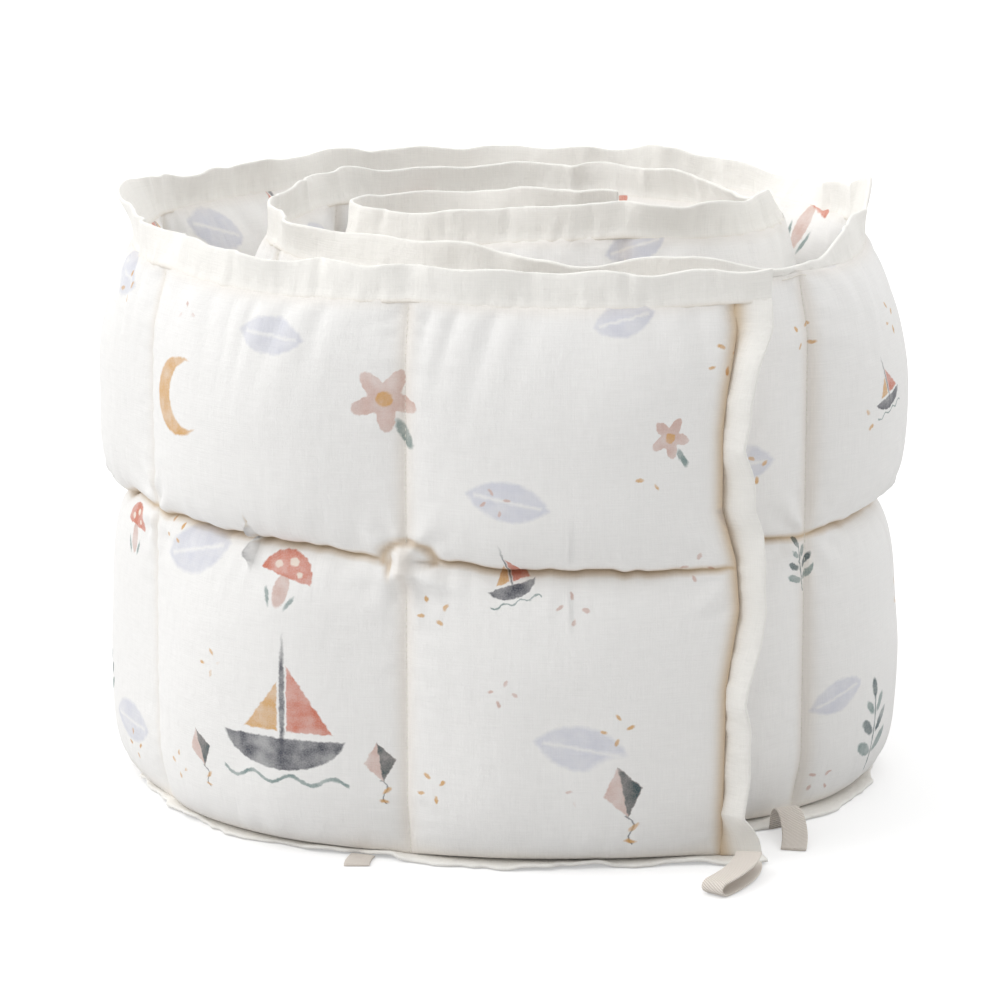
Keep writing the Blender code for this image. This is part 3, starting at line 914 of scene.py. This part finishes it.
def tape(name, run, length, swing, folded, hump):
    """A tape that leaves the foot band and swings to one side on the floor.

    Its route is in the plane first: how far it has gone, and how high it lies, which is a sine
    where the tape humps. Then it is bent sideways by a parabola and given its width and
    thickness, with rounded edges.
    """
    flat = np.linspace(0, length, 60)
    distance = flat
    height = TAPE_THICK / 2 + hump * np.sin(math.pi * (flat / length) ** 0.42) ** 1.2
    if folded:
        bend = np.linspace(-math.pi / 2, math.pi / 2, 25)[1:]
        back = np.linspace(0, folded, 45)[1:]
        distance = np.r_[flat, length + FOLD_RADIUS * np.cos(bend), length - back]
        loop = TAPE_THICK / 2 + FOLD_RADIUS * (1 + np.sin(bend))
        height = np.r_[height, loop, loop[-1] + 0.10 * back]
    start = foot_reach(run + np.array([-0.5, 0, 0.5]) * TAPE_WIDTH).max() + GAP
    sideways = -swing * (distance / length) ** 2
    centre = place(run + 0 * sideways, start + distance, height)
    _, along, outward = frame_at(run)
    strip_way, flat_way = np.r_[along, 0], np.r_[outward, 0]
    centre = centre + sideways[:, None] * strip_way
    slope = -2 * swing * distance / length ** 2
    across = unit(strip_way[None, :] - slope[:, None] * flat_way[None, :])
    through = unit(np.cross(unit(np.gradient(centre, axis=0)), across))
    # The profile is a thin rectangle with round ends, as a superellipse.
    angle = np.linspace(0, 2 * math.pi, 28, endpoint=False)
    wide, thick = (np.sign(way(angle)) * np.abs(way(angle)) ** power * size / 2
                   for way, power, size in ((np.cos, 0.25, TAPE_WIDTH), (np.sin, 0.6, TAPE_THICK)))
    rings = centre[:, None] + across[:, None] * wide[:, None] + through[:, None] * thick[:, None]
    gone = length_along(centre)
    cloth_map = np.stack(np.broadcast_arrays(gone[:, None], wide), axis=-1)
    cloth_map = np.concatenate((cloth_map, cloth_map[:, :1]), axis=1)
    return ring_mesh(name + "_tape", rings, cloth_map), gone[-1]


tapes = {row[0]: tape(*row) for row in TIES}
print({name: round(length, 4) for name, (_, length) in tapes.items()}, "m of tape")

# %% [markdown]
# ## Stitches
# Rows of short thread stitches hold the bands, and more run down each crosswise seam. A real
# thread is half a millimetre thick, so a stitch needs no round form: a spindle of eight faces
# does, and all of one kind are one mesh.

# %% Stitches
STITCH_PITCH = 0.0031
STITCH_SHARE = 0.76       # the rest of the pitch is the hole between two stitches
THREAD_HALF = 0.00028


def spindles(name, starts, ends, sides):
    """One mesh of spindles from starts to ends; sides are the directions off the cloth."""
    way = unit(ends - starts)
    level = unit(np.cross(way, sides))
    up = np.cross(level, way)
    middle = (starts + ends) / 2
    round_it = [middle + THREAD_HALF * d for d in (level, up, -level, -up)]
    points = np.stack((starts, ends, *round_it), axis=1)
    one = np.array([(0, 2, 3), (0, 3, 4), (0, 4, 5), (0, 5, 2),
                    (1, 3, 2), (1, 4, 3), (1, 5, 4), (1, 2, 5)])
    faces = (one[None] + 6 * np.arange(len(points))[:, None, None]).reshape(-1, 3)
    mesh = bpy.data.meshes.new(name)
    mesh.from_pydata(points.reshape(-1, 3), [], faces)
    mesh.shade_smooth()
    print(name, "has", len(points), "stitches")
    return add_object(name, mesh)


def stitch_row(point_at, length):
    """Starts, ends and directions off the cloth; point_at(distance, lift) gives its points."""
    starts = np.arange(0.002, length - STITCH_PITCH, STITCH_PITCH)
    ends = starts + STITCH_PITCH * STITCH_SHARE
    low, high = point_at(starts, 0.0001), point_at(ends, 0.0001)
    middle = (starts + ends) / 2
    off = point_at(middle, 0.001) - point_at(middle, 0.0)
    return low, high, off


def joined(rows):
    """All the rows' starts together, all their ends, and all their directions."""
    return [np.concatenate(parts) for parts in zip(*rows)]


def top_row(turn):
    """A row along the standing band, on the face that turn says."""
    return stitch_row(lambda run, lift: band_point(run, TOPSTITCH_SHARE, turn, lift), LENGTH)


top_rows = [top_row(0.0), top_row(math.pi)]
top_stitches = spindles("topstitches", *joined(top_rows))


def crosswise_row(seam, side):
    """A row down the crosswise seam at run seam, on one face."""
    def point_at(height, lift):
        return place(seam, seam_out(seam, height) + side * (SEAM_THICK / 2 + lift), height)
    return stitch_row(point_at, QUILT_TOP)


seam_rows = [crosswise_row(seam, side) for seam in SEAM_RUNS[1:-1] for side in (1, -1)]
seam_stitches = spindles("seam_stitches", *joined(seam_rows))

# %% [markdown]
# ## Drawing with nodes
# The muslin is printed with small, soft watercolour pictures. They could be painted in an image,
# but an image is only as sharp as its dots and has to be carried along as a file. Here each
# picture is drawn by nodes, in millimetres on the cloth. A shape is a distance, positive inside
# it. The smaller of two distances is what two shapes have in common, the larger is both shapes
# together, and a steep ramp at nought turns a distance into a mask to paint through.


# %% A helper for node trees
def chart_colour(red, green, blue):
    """A colour as a shader wants it, from the 0 to 255 values of a colour chart."""
    share = np.array((red, green, blue)) / 255
    value = np.where(share <= 0.04045, share / 12.92, ((share + 0.055) / 1.055) ** 2.4)
    return (*value.tolist(), 1.0)


class Tree:
    """A node tree that grows by a node a line. Most methods return the new output socket."""

    def __init__(self, tree):
        self.tree = tree

    def put(self, value, socket):
        """Link value to socket where it is an output, or else set it there."""
        if isinstance(value, bpy.types.NodeSocket):
            self.tree.links.new(value, socket)
        else:
            socket.default_value = value

    def node(self, kind, *values, **settings):
        """A new node, with its input sockets linked or set in order. None leaves one alone."""
        node = self.tree.nodes.new("ShaderNode" + kind)
        for name, setting in settings.items():
            setattr(node, name, setting)
        for socket, value in zip(node.inputs, values):
            if value is not None:
                self.put(value, socket)
        return node

    def math(self, operation, *values, clamp=False):
        return self.node("Math", *values, operation=operation, use_clamp=clamp).outputs[0]

    def times(self, value, factor, plus=None):
        """value times factor, and plus added to it."""
        if plus is None:
            return self.math("MULTIPLY", value, factor)
        return self.math("MULTIPLY_ADD", value, factor, plus)

    def vector(self, operation, *values):
        node = self.node("VectorMath", *values, operation=operation)
        return node.outputs["Value" if operation in ("LENGTH", "DOT_PRODUCT") else "Vector"]

    def parts(self, vector):
        return self.node("SeparateXYZ", vector).outputs[:2]

    def noise(self, at, scale, detail=2.0):
        """Smooth noise, about 0.3 to 0.7, with scale bumps in each millimetre."""
        return self.node("TexNoise", at, None, scale, detail).outputs["Fac"]

    def between(self, value, low, high, new_low, new_high):
        """value from low to high becomes new_low to new_high, and no more or less."""
        return self.node("MapRange", value, low, high, new_low, new_high).outputs[0]

    def oval(self, at, centre, half_x, half_y, turn=0.0):
        """Distance into an oval: one less the length of the place in it, times its short half."""
        local = self.node("Mapping", at, (*centre, 0), (0, 0, turn), (half_x, half_y, 1),
                          vector_type="TEXTURE").outputs[0]
        short = min(half_x, half_y)
        return self.times(self.vector("LENGTH", local), -short, short)

    def side(self, at, point, facing):
        """Distance past a straight edge through point, on the side that it faces."""
        length = math.hypot(*facing)
        way = (facing[0] / length, facing[1] / length, 0)
        along = self.vector("DOT_PRODUCT", at, way)
        return self.math("SUBTRACT", along, point[0] * way[0] + point[1] * way[1])

    def stroke(self, across, half):
        """Distance into a line whose middle is where across is nought."""
        return self.math("SUBTRACT", half, self.math("ABSOLUTE", across))

    def both(self, *distances):
        """Distance into what the shapes have in common."""
        return functools.reduce(functools.partial(self.math, "MINIMUM"), distances)

    def either(self, *distances):
        """Distance into the shapes together."""
        return functools.reduce(functools.partial(self.math, "MAXIMUM"), distances)

    def ovals(self, at, *rows):
        """Distance into several ovals together, each (centre, half_x, half_y, turn)."""
        return self.either(*(self.oval(at, *row) for row in rows))

    def within(self, at, *edges):
        """Distance into the space inside straight edges, each (point, facing)."""
        return self.both(*(self.side(at, *edge) for edge in edges))

    def mask(self, distance, soft=0.5):
        return self.math("MULTIPLY_ADD", distance, 1 / soft, 0.5, clamp=True)

    def blend(self, under, colour, amount, how="MIX"):
        """colour laid over under, as much as amount says."""
        node = self.node("Mix", data_type="RGBA", blend_type=how)
        for slot, value in ((0, amount), (6, under), (7, colour)):
            self.put(value, node.inputs[slot])
        return node.outputs[2]


def new_group(name, inputs, outputs):
    """A shader node group with the given sockets, and its tree, input node and output node."""
    group = bpy.data.node_groups.new(name, "ShaderNodeTree")
    for way, sockets in (("INPUT", inputs), ("OUTPUT", outputs)):
        for socket_name, kind in sockets:
            group.interface.new_socket(socket_name, in_out=way, socket_type="NodeSocket" + kind)
    ends = [group.nodes.new(kind) for kind in ("NodeGroupInput", "NodeGroupOutput")]
    return group, Tree(group), ends[0].outputs, ends[1].inputs


print("a chart colour for a shader:", [round(v, 3) for v in chart_colour(215, 165, 95)])

# %% [markdown]
# ## The print
# The pictures are small and far apart, as on most nursery muslin: a sailing boat, a sprig, a
# crescent moon, a toadstool, a kite and a blossom. Each is a short list of shapes and colours,
# drawn from the bottom up round the picture's middle. A picture's lines are a little thicker than
# a pen's, because the cloth takes up the ink.

# %% Colours of the print
SLATE = chart_colour(74, 76, 86)
CORAL = chart_colour(208, 118, 92)
OCHRE = chart_colour(216, 166, 98)
TEAL = chart_colour(62, 88, 92)
SAGE = chart_colour(122, 144, 142)
PINK = chart_colour(214, 184, 174)
LAVENDER = chart_colour(220, 221, 229)
CREAM = chart_colour(243, 238, 226)
CLOTH = chart_colour(246, 245, 243)
IVORY = chart_colour(250, 248, 243)
print("the cloth for a shader:", [round(v, 3) for v in CLOTH])

# %% [markdown]
# Each picture is a function of the place on the cloth, measured from the picture's own middle,
# and gives its shapes with their colours in the order in which they are painted.


# %% The pictures
def boat(t, at):
    """A hull cut off level, two sails either side of a mast, and a wave."""
    x, y = t.parts(at)
    hull = t.both(t.oval(at, (0, -4), 16, 9.5), t.side(at, (0, -5), (0, -1)))
    mast = t.oval(at, (0.4, 6), 0.7, 14)
    boom = ((0, -3), (0, 1))
    main_sail = t.within(at, ((1.6, 0), (1, 0)), boom, ((13, -3), (-17, -11)))
    fore_sail = t.within(at, ((-1, 0), (-1, 0)), boom, ((-10, -3), (13, -9)))
    ripple = t.times(t.math("SINE", t.times(x, 0.6)), -1.1, y)
    wave = t.both(t.stroke(t.math("ADD", ripple, 16.0), 0.5), t.stroke(x, 17.0))
    return (hull, SLATE), (main_sail, CORAL), (fore_sail, OCHRE), (mast, SLATE), (wave, SAGE)


def sprig(t, at):
    """A bent stem with leaves in pairs, which mirror each other, and one at its tip."""
    x, y = t.parts(at)
    bend = t.times(t.math("SINE", t.times(y, 0.11)), -1.6, x)
    stem = t.both(t.stroke(bend, 0.45), t.stroke(y, 17.0))
    folded = t.node("CombineXYZ", t.math("ABSOLUTE", bend), y, 0.0).outputs[0]
    pale = t.ovals(folded, ((6.2, -5), 6.2, 2.3, 0.6), ((3.8, 12), 4.2, 1.7, 0.95))
    dark = t.ovals(folded, ((5.6, 4), 5.4, 2.1, 0.75), ((0, 20), 1.9, 4.2))
    return (stem, TEAL), (pale, SAGE), (dark, TEAL)


def crescent(t, at):
    """A disc with another disc cut out of it."""
    disc = t.oval(at, (0, 0), 12, 12, -0.2)
    bite = t.oval(at, (5.2, 2.4), 10.2, 10.6)
    return (t.both(disc, t.times(bite, -1.0)), OCHRE),


def toadstool(t, at):
    """A domed cap with pale spots on a plump stem, and two blades of grass."""
    cap = t.both(t.oval(at, (0, 2), 14.5, 13), t.side(at, (0, 1.5), (0.06, 1)))
    spots = t.ovals(at, ((-6, 6.5), 2.3, 1.9), ((2.2, 9.8), 2.6, 2.0), ((7.6, 4.6), 1.8, 1.5))
    stem = t.oval(at, (0, -6), 4.2, 9.5)
    grass = t.ovals(at, ((-6.5, -11), 1.1, 5, 0.35), ((6, -11.5), 1.1, 4.4, -0.4))
    return (stem, PINK), (grass, SAGE), (cap, CORAL), (spots, CREAM)


def kite(t, at):
    """A diamond in two colours, and a tail that follows a sine with two bows on it."""
    x, y = t.parts(at)
    wide, tall = t.math("ABSOLUTE", x), t.math("ABSOLUTE", t.math("SUBTRACT", y, 6.0))
    reach = t.times(wide, 1 / 9.5, t.math("DIVIDE", tall, 13.0))
    diamond = t.times(reach, -7.0, 7.0)
    right_half = t.both(diamond, x)
    wiggle = t.times(t.math("SINE", t.times(y, 0.42)), -2.0, x)
    tail = t.both(t.stroke(wiggle, 0.45), t.stroke(t.math("ADD", y, 14.0), 8.0))
    bows = t.ovals(at, ((1.6, -13), 3.0, 1.2, 0.5), ((-1.2, -20), 2.8, 1.1, -0.4))
    return (tail, SLATE), (diamond, PINK), (right_half, TEAL), (bows, OCHRE)


def blossom(t, at):
    """Five petals: the edge's distance from the middle follows the cosine of 5 times the angle."""
    x, y = t.parts(at)
    angle = t.times(t.math("ARCTAN2", y, x), 5.0)
    edge = t.times(t.math("COSINE", angle), 2.8, 8.4)
    petals = t.math("SUBTRACT", edge, t.vector("LENGTH", at))
    leaf = t.oval(at, (9, -9.5), 5.2, 1.9, -0.8)
    return (leaf, SAGE), (petals, PINK), (t.oval(at, (0, 0), 2.7, 2.7), OCHRE)


PICTURES = (boat, sprig, crescent, toadstool, kite, blossom)
print("pictures:", [picture.__name__ for picture in PICTURES])

# %% [markdown]
# A printed repeat is a grid, but rows in step would show as stripes. So every second row is moved
# by half a step, and white noise, which gives each cell of the grid its own fixed random numbers,
# moves, turns and sizes the picture in it and says which one it is.

# %% The repeat
LAYERS = {
    # name: step along and up, how far a picture may wander, seed, millimetres
    "leaves": ((151.0, 113.0), 26.0, 3.0),
    "sprinkles": ((67.0, 57.0), 13.0, 11.0),
    "pictures": ((118.0, 92.0), 13.0, 29.0),
}


def repeat(t, at, step, wander_by, seed):
    """The place round the middle of a cell of a staggered grid, and the cell's random numbers."""
    x, y = t.parts(t.vector("DIVIDE", at, (*step, 1)))
    odd = t.math("FLOORED_MODULO", t.math("FLOOR", y), 2.0)
    grid = t.node("CombineXYZ", t.times(odd, 0.5, x), y, 0.0).outputs[0]
    cell = t.vector("FLOOR", grid)
    inside = t.vector("SUBTRACT", grid, cell)
    local = t.vector("MULTIPLY_ADD", inside, (*step, 0), (-step[0] / 2, -step[1] / 2, 0))
    randoms = []
    for salt in (0.0, 7.3):
        salted = t.vector("ADD", cell, (seed + salt, 0, 0))
        chance = t.node("TexWhiteNoise", salted, noise_dimensions="3D")
        randoms.append(chance.outputs["Color"])
    both_ways = np.array((wander_by, wander_by, 0))
    shift = t.vector("MULTIPLY_ADD", randoms[0], 2 * both_ways, -both_ways)
    return t.vector("SUBTRACT", local, shift), randoms[1]


def turned(t, at, angle, size):
    """at turned by angle and made smaller by size, so that what is drawn there is larger."""
    level = t.node("VectorRotate", at, None, None, angle, rotation_type="Z_AXIS").outputs[0]
    smaller = t.math("DIVIDE", 1.0, size)
    return t.node("VectorMath", level, None, None, smaller, operation="SCALE").outputs[0]


def paint(t, under, shapes, amount, soft):
    """The (distance, colour) shapes painted in order over under, through masks with soft edges."""
    for distance, shade in shapes:
        under = t.blend(under, shade, t.times(t.mask(distance, soft), amount))
    return under


print("a picture every", LAYERS["pictures"][0], "mm")

# %% [markdown]
# The print is then painted in layers, from the faintest to the clearest: leaves, sprinkles, the
# small pictures and one large one. Two noises thin the ink, one as a wash and one as a grain.

# %% The print's node group
print_group, t, group_in, group_out = new_group(
    "Nursery print", [("Cloth place", "Vector")], [("Colour", "Color")])
place_in = group_in[0]
# The ink's edges follow the threads a little.
WOBBLE = np.array((1.1, 1.1, 0))  # mm either way
wobble = t.node("TexNoise", place_in, None, 0.35, 3.0).outputs["Color"]
inked = t.vector("ADD", place_in, t.vector("MULTIPLY_ADD", wobble, 2 * WOBBLE, -WOBBLE))
wash = t.between(t.noise(place_in, 0.10, 3.0), 0.32, 0.66, 0.62, 1.0)
grain = t.between(t.noise(place_in, 1.3), 0.35, 0.65, 0.86, 1.0)
ink = t.times(wash, grain)
colour = CLOTH

# Soft grey leaves lie under everything else: where two discs meet.
at, chance = repeat(t, inked, *LAYERS["leaves"])
red, green = t.parts(chance)
at = turned(t, at, t.between(red, 0, 1, -0.5, 0.5), t.between(green, 0, 1, 0.75, 1.2))
blade = t.both(t.oval(at, (0, -15), 25, 25), t.oval(at, (0, 15), 25, 25))
x, y = t.parts(at)
rib = t.both(t.stroke(y, 0.5), t.stroke(x, 16.0))
leaf = t.both(blade, t.times(rib, -1.0))
colour = paint(t, colour, [(leaf, LAVENDER)], wash, 2.0)

# Sprinkles: four short dabs together.
at, chance = repeat(t, inked, *LAYERS["sprinkles"])
red, green = t.parts(chance)
at = turned(t, at, t.between(red, 0, 1, 0, 6.3), t.between(green, 0, 1, 0.85, 1.15))
dabs = t.ovals(at, ((-5, 2), 1.7, 0.85, 0.4), ((1, 6), 1.6, 0.8, 1.7),
               ((6, -1), 1.7, 0.85, 2.6), ((0, -5.5), 1.5, 0.8, 1.1))
kept = t.math("GREATER_THAN", green, 0.30)
dab_shade = t.blend(OCHRE, PINK, t.math("GREATER_THAN", red, 0.72))
colour = paint(t, colour, [(dabs, dab_shade)], t.times(kept, ink), 0.5)

# The pictures.
at, chance = repeat(t, inked, *LAYERS["pictures"])
red, green = t.parts(chance)
blue = t.node("SeparateXYZ", chance).outputs[2]
size = t.times(t.math("POWER", green, 5.0), 0.85, t.times(red, 0.25, 0.72))
at = turned(t, at, t.between(red, 0, 1, -0.30, 0.30), size)
# A bare patch keeps sprinkles and leaves away from a picture.
patch = t.mask(t.math("SUBTRACT", 25.0, t.vector("LENGTH", at)), 4.0)
colour = t.blend(colour, CLOTH, patch)
kind = t.math("FLOOR", t.times(blue, len(PICTURES) - 0.001))
for number, picture in enumerate(PICTURES):
    chosen = t.times(t.math("COMPARE", kind, float(number), 0.5), ink)
    colour = paint(t, colour, picture(t, at), chosen, 0.7)

# One large boat in every 0.62 m, on a bare patch of its own.
LARGE_EVERY, LARGE_AT, LARGE_SIZE = 620.0, (384.0, 70.0), 1.9
x, y = t.parts(inked)
across = t.math("SUBTRACT", t.math("FLOORED_MODULO", x, LARGE_EVERY), LARGE_AT[0])
at = t.node("CombineXYZ", across, t.math("SUBTRACT", y, LARGE_AT[1]), 0.0).outputs[0]
at = t.vector("MULTIPLY", at, (1 / LARGE_SIZE, 1 / LARGE_SIZE, 0))
colour = t.blend(colour, CLOTH, t.mask(t.oval(at, (0, 0), 22, 25), 3.0))
colour = paint(t, colour, boat(t, at), ink, 0.4)
t.put(colour, group_out[0])
print("the print has", len(print_group.nodes), "nodes")

# %% [markdown]
# ## The weave
# Muslin is an open, uneven weave. From a step away its single threads can't be told apart, but
# its thick places can: short pale and dark streaks both ways, and a soft crinkle that the cloth
# keeps from washing. Three materials share one group for this. It puts out a height for a Bump
# node and a tint that darkens the colour between the threads.

# %% The weave's node group
weave_group, t, group_in, group_out = new_group(
    "Muslin weave",
    [("Cloth place", "Vector"), ("Thread", "Float"), ("Crinkle", "Float")],
    [("Height", "Float"), ("Tint", "Float")])
place_in, thread, crinkle_size = group_in[0], group_in[1], group_in[2]
# Two stretched noises are the slubs of the threads that run along and up.
along, upward = (t.noise(t.vector("MULTIPLY", place_in, stretch), 1.0, 3.0)
                 for stretch in ((0.07, 1.9, 1), (1.9, 0.07, 1)))
slubs = t.times(t.math("ADD", along, upward), 1.0, -1.0)
PICK = 0.62                # mm in which the weave repeats
x, y = t.parts(t.vector("MULTIPLY", place_in, (2 * math.pi / PICK, 2 * math.pi / PICK, 0)))
weave = t.times(t.math("SINE", x), t.math("SINE", y))
threads = t.times(t.times(weave, 0.25, slubs), thread)
crinkle = t.noise(place_in, 0.11, 4.0)
veins = t.noise(t.vector("MULTIPLY", place_in, (1.0, 0.35, 1)), 0.16, 3.0)
crumple = t.times(t.math("ADD", crinkle, veins), crinkle_size)
t.put(t.math("ADD", threads, crumple), group_out[0])
t.put(t.times(slubs, 0.10, 0.99), group_out[1])
print("the weave has", len(weave_group.nodes), "nodes")

# %% [markdown]
# ## The materials
# Two layers of thin cotton let light through and pass it on from fold to fold, so a deep seam in
# cream cloth looks ochre rather than grey. That is painted shade: each mesh says how deep in a seam
# every point lies, and the cloth is multiplied by a warm shade colour there. The fuzz of muslin is
# the shader's sheen.

# %% Materials
PAINTED_SEAM_SHADE = chart_colour(204, 168, 110)      # painted shade: the colour of light that has bounced from cream cloth to cream cloth


def new_material(name, roughness, sheen):
    """An empty material: its tree and its shader, with the values that never change over it."""
    material = bpy.data.materials.new(name)
    material.use_nodes = True
    shader = material.node_tree.nodes["Principled BSDF"]
    shader.inputs["Roughness"].default_value = roughness
    shader.inputs["Sheen Weight"].default_value = sheen
    shader.inputs["Sheen Roughness"].default_value = 0.5
    shader.inputs["Specular IOR Level"].default_value = 0.25
    return material, Tree(material.node_tree), shader


def cloth_place(t):
    """The place on the cloth in millimetres, from the piece's own map, which is in metres."""
    on_map = t.node("UVMap", uv_map="Cloth").outputs[0]
    return t.vector("MULTIPLY", on_map, (-1000.0, 1000.0, 0.0))


def finish_cloth(t, shader, colour, place_on_cloth, thread, crinkle, depth):
    """Tint and emboss a cloth with the weave, and multiply painted seam shade into it from the
    mesh.
    """
    weave = t.node("Group", place_on_cloth, thread, crinkle, node_tree=weave_group).outputs
    tinted = t.blend(colour, weave["Tint"], 1.0, "MULTIPLY")
    # Painted shade: the cloth is multiplied by a warm shade colour as far as the mesh's seam depth
    # says.
    painted_shade = t.node("Attribute", attribute_name="Seam").outputs["Fac"]
    seam_shaded = t.blend(tinted, PAINTED_SEAM_SHADE, t.times(painted_shade, 0.75), "MULTIPLY")
    bump = t.node("Bump", 0.55, depth)
    t.put(weave["Height"], bump.inputs["Height"])
    t.put(seam_shaded, shader.inputs["Base Color"])
    t.put(bump.outputs[0], shader.inputs["Normal"])


printed_muslin, t, shader = new_material("printed_muslin", roughness=0.92, sheen=0.22)
where = cloth_place(t)
printed = t.node("Group", where, node_tree=print_group).outputs["Colour"]
finish_cloth(t, shader, printed, where, thread=0.22, crinkle=1.0, depth=0.0011)

ivory_muslin, t, shader = new_material("ivory_muslin", roughness=0.92, sheen=0.22)
where = cloth_place(t)
finish_cloth(t, shader, IVORY, where, thread=0.22, crinkle=1.5, depth=0.0012)

RIB = 1.15                 # mm from rib to rib of the twill
cream_twill, t, shader = new_material("cream_twill", roughness=0.88, sheen=0.15)
where = cloth_place(t)
x, y = t.parts(where)
rib = t.math("SINE", t.times(t.times(y, 0.45, x), 2 * math.pi / RIB))
on_rib = t.between(rib, -1, 1, 0, 1)
# The tape's own cream, with painted shade: darker in the grooves between the ribs.
rib_tone_with_painted_shade = t.blend(chart_colour(219, 209, 198), chart_colour(246, 239, 231), on_rib)
finish_cloth(t, shader, rib_tone_with_painted_shade, where, thread=0.25, crinkle=0.4, depth=0.0005)
rib_bump = t.node("Bump", 0.6, 0.0004)
t.put(rib, rib_bump.inputs["Height"])
t.put(shader.inputs["Normal"].links[0].from_socket, rib_bump.inputs["Normal"])
t.put(rib_bump.outputs[0], shader.inputs["Normal"])

sewing_thread, t, shader = new_material("sewing_thread", roughness=0.75, sheen=0.1)
in_mm = t.vector("MULTIPLY", t.node("TexCoord").outputs["Object"], (1000.0, 1000.0, 1000.0))
twist = t.between(t.noise(in_mm, 4.0), 0.35, 0.65, 0, 1)
twisted = t.blend(chart_colour(226, 221, 206), chart_colour(248, 246, 238), twist)
t.put(twisted, shader.inputs["Base Color"])
print("materials:", [m.name for m in (printed_muslin, ivory_muslin, cream_twill, sewing_thread)])

# %% [markdown]
# ## The stage
# The photo is taken on a seamless white ground in soft daylight that comes mostly from the left.
# A wide, low sun gives that direction, and a white sky fills the shadows. The ground is a plain
# white that also glows a little where the camera looks straight at it, as an overexposed ground
# does, without lighting the cloth any more than a real one.

# %% Ground, sky and sun
SKY = 0.85                 # at the horizon
FRONT_SKY = 0.45           # the share of that on the camera's side, where the room is darker
OVERHEAD = 1.75            # and the share straight above
SUN = 1.00
SUN_WIDTH = 45.0           # degrees across, for soft shadows
SUN_TURN = (50.0, 0.0, -75.0)   # degrees: it stands 40 degrees up, on the left
GROUND_WHITE = 0.68
GROUND_GLOW = 0.40

bpy.ops.mesh.primitive_plane_add(size=40, location=(0, 0, -0.0002))
ground = bpy.context.object
ground.name = "ground"
white_ground, t, shader = new_material("white_ground", 0.9, 0.0)
shader.inputs["Base Color"].default_value = (GROUND_WHITE, GROUND_WHITE, GROUND_WHITE, 1)
shader.inputs["Emission Color"].default_value = (1, 1, 1, 1)
seen = t.node("LightPath").outputs["Is Camera Ray"]
t.put(t.times(seen, GROUND_GLOW), shader.inputs["Emission Strength"])
ground.data.materials.append(white_ground)

world = bpy.data.worlds.new("white_sky")
world.use_nodes = True
background = world.node_tree.nodes["Background"]
background.inputs["Color"].default_value = (1, 1, 1, 1)
t = Tree(world.node_tree)
direction = t.node("TexCoord").outputs["Generated"]
towards_back, upwards = t.node("SeparateXYZ", direction).outputs[1:3]
sides = t.between(towards_back, -0.9, 0.3, SKY * FRONT_SKY, SKY)
strength = t.times(sides, t.between(upwards, 0.0, 1.0, 1.0, OVERHEAD))
t.put(strength, background.inputs["Strength"])
bpy.context.scene.world = world
sun_light = bpy.data.lights.new("daylight", "SUN")
sun_light.energy = SUN
sun_light.angle = math.radians(SUN_WIDTH)
daylight = add_object("daylight", sun_light)
daylight.rotation_euler = [math.radians(angle) for angle in SUN_TURN]
bpy.context.scene.view_settings.view_transform = "Standard"
print("sky", SKY, "and sun", SUN)

# %% [markdown]
# ## Dressing the frame
# Every piece rides on the part's one body and gets its material, and the CAD solids that a piece
# stands for are hidden.

# %% Dress
body = list(frame["bodies"])[0]


def dress(piece, material, slot, *nodes):
    """Give a piece its material and its body, and hide the CAD nodes it stands for; slot is not
    used.
    """
    piece.data.materials.append(material)
    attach(piece, body)
    if nodes:
        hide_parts(*nodes)


for part in quilts:
    dress(part, printed_muslin, "printed_cloth", "quilt")
dress(top_band, ivory_muslin, "band_cloth", "top_band")
dress(lower_band, ivory_muslin, "band_cloth", "bottom_band")
dress(end_outer, ivory_muslin, "band_cloth", "end_band_outer")
dress(end_inner, ivory_muslin, "band_cloth", "end_band_inner")
for tie_name, (piece, length) in tapes.items():
    dress(piece, cream_twill, "twill_tape", tie_name)
dress(top_stitches, sewing_thread, "band_cloth")
dress(seam_stitches, sewing_thread, "printed_cloth")
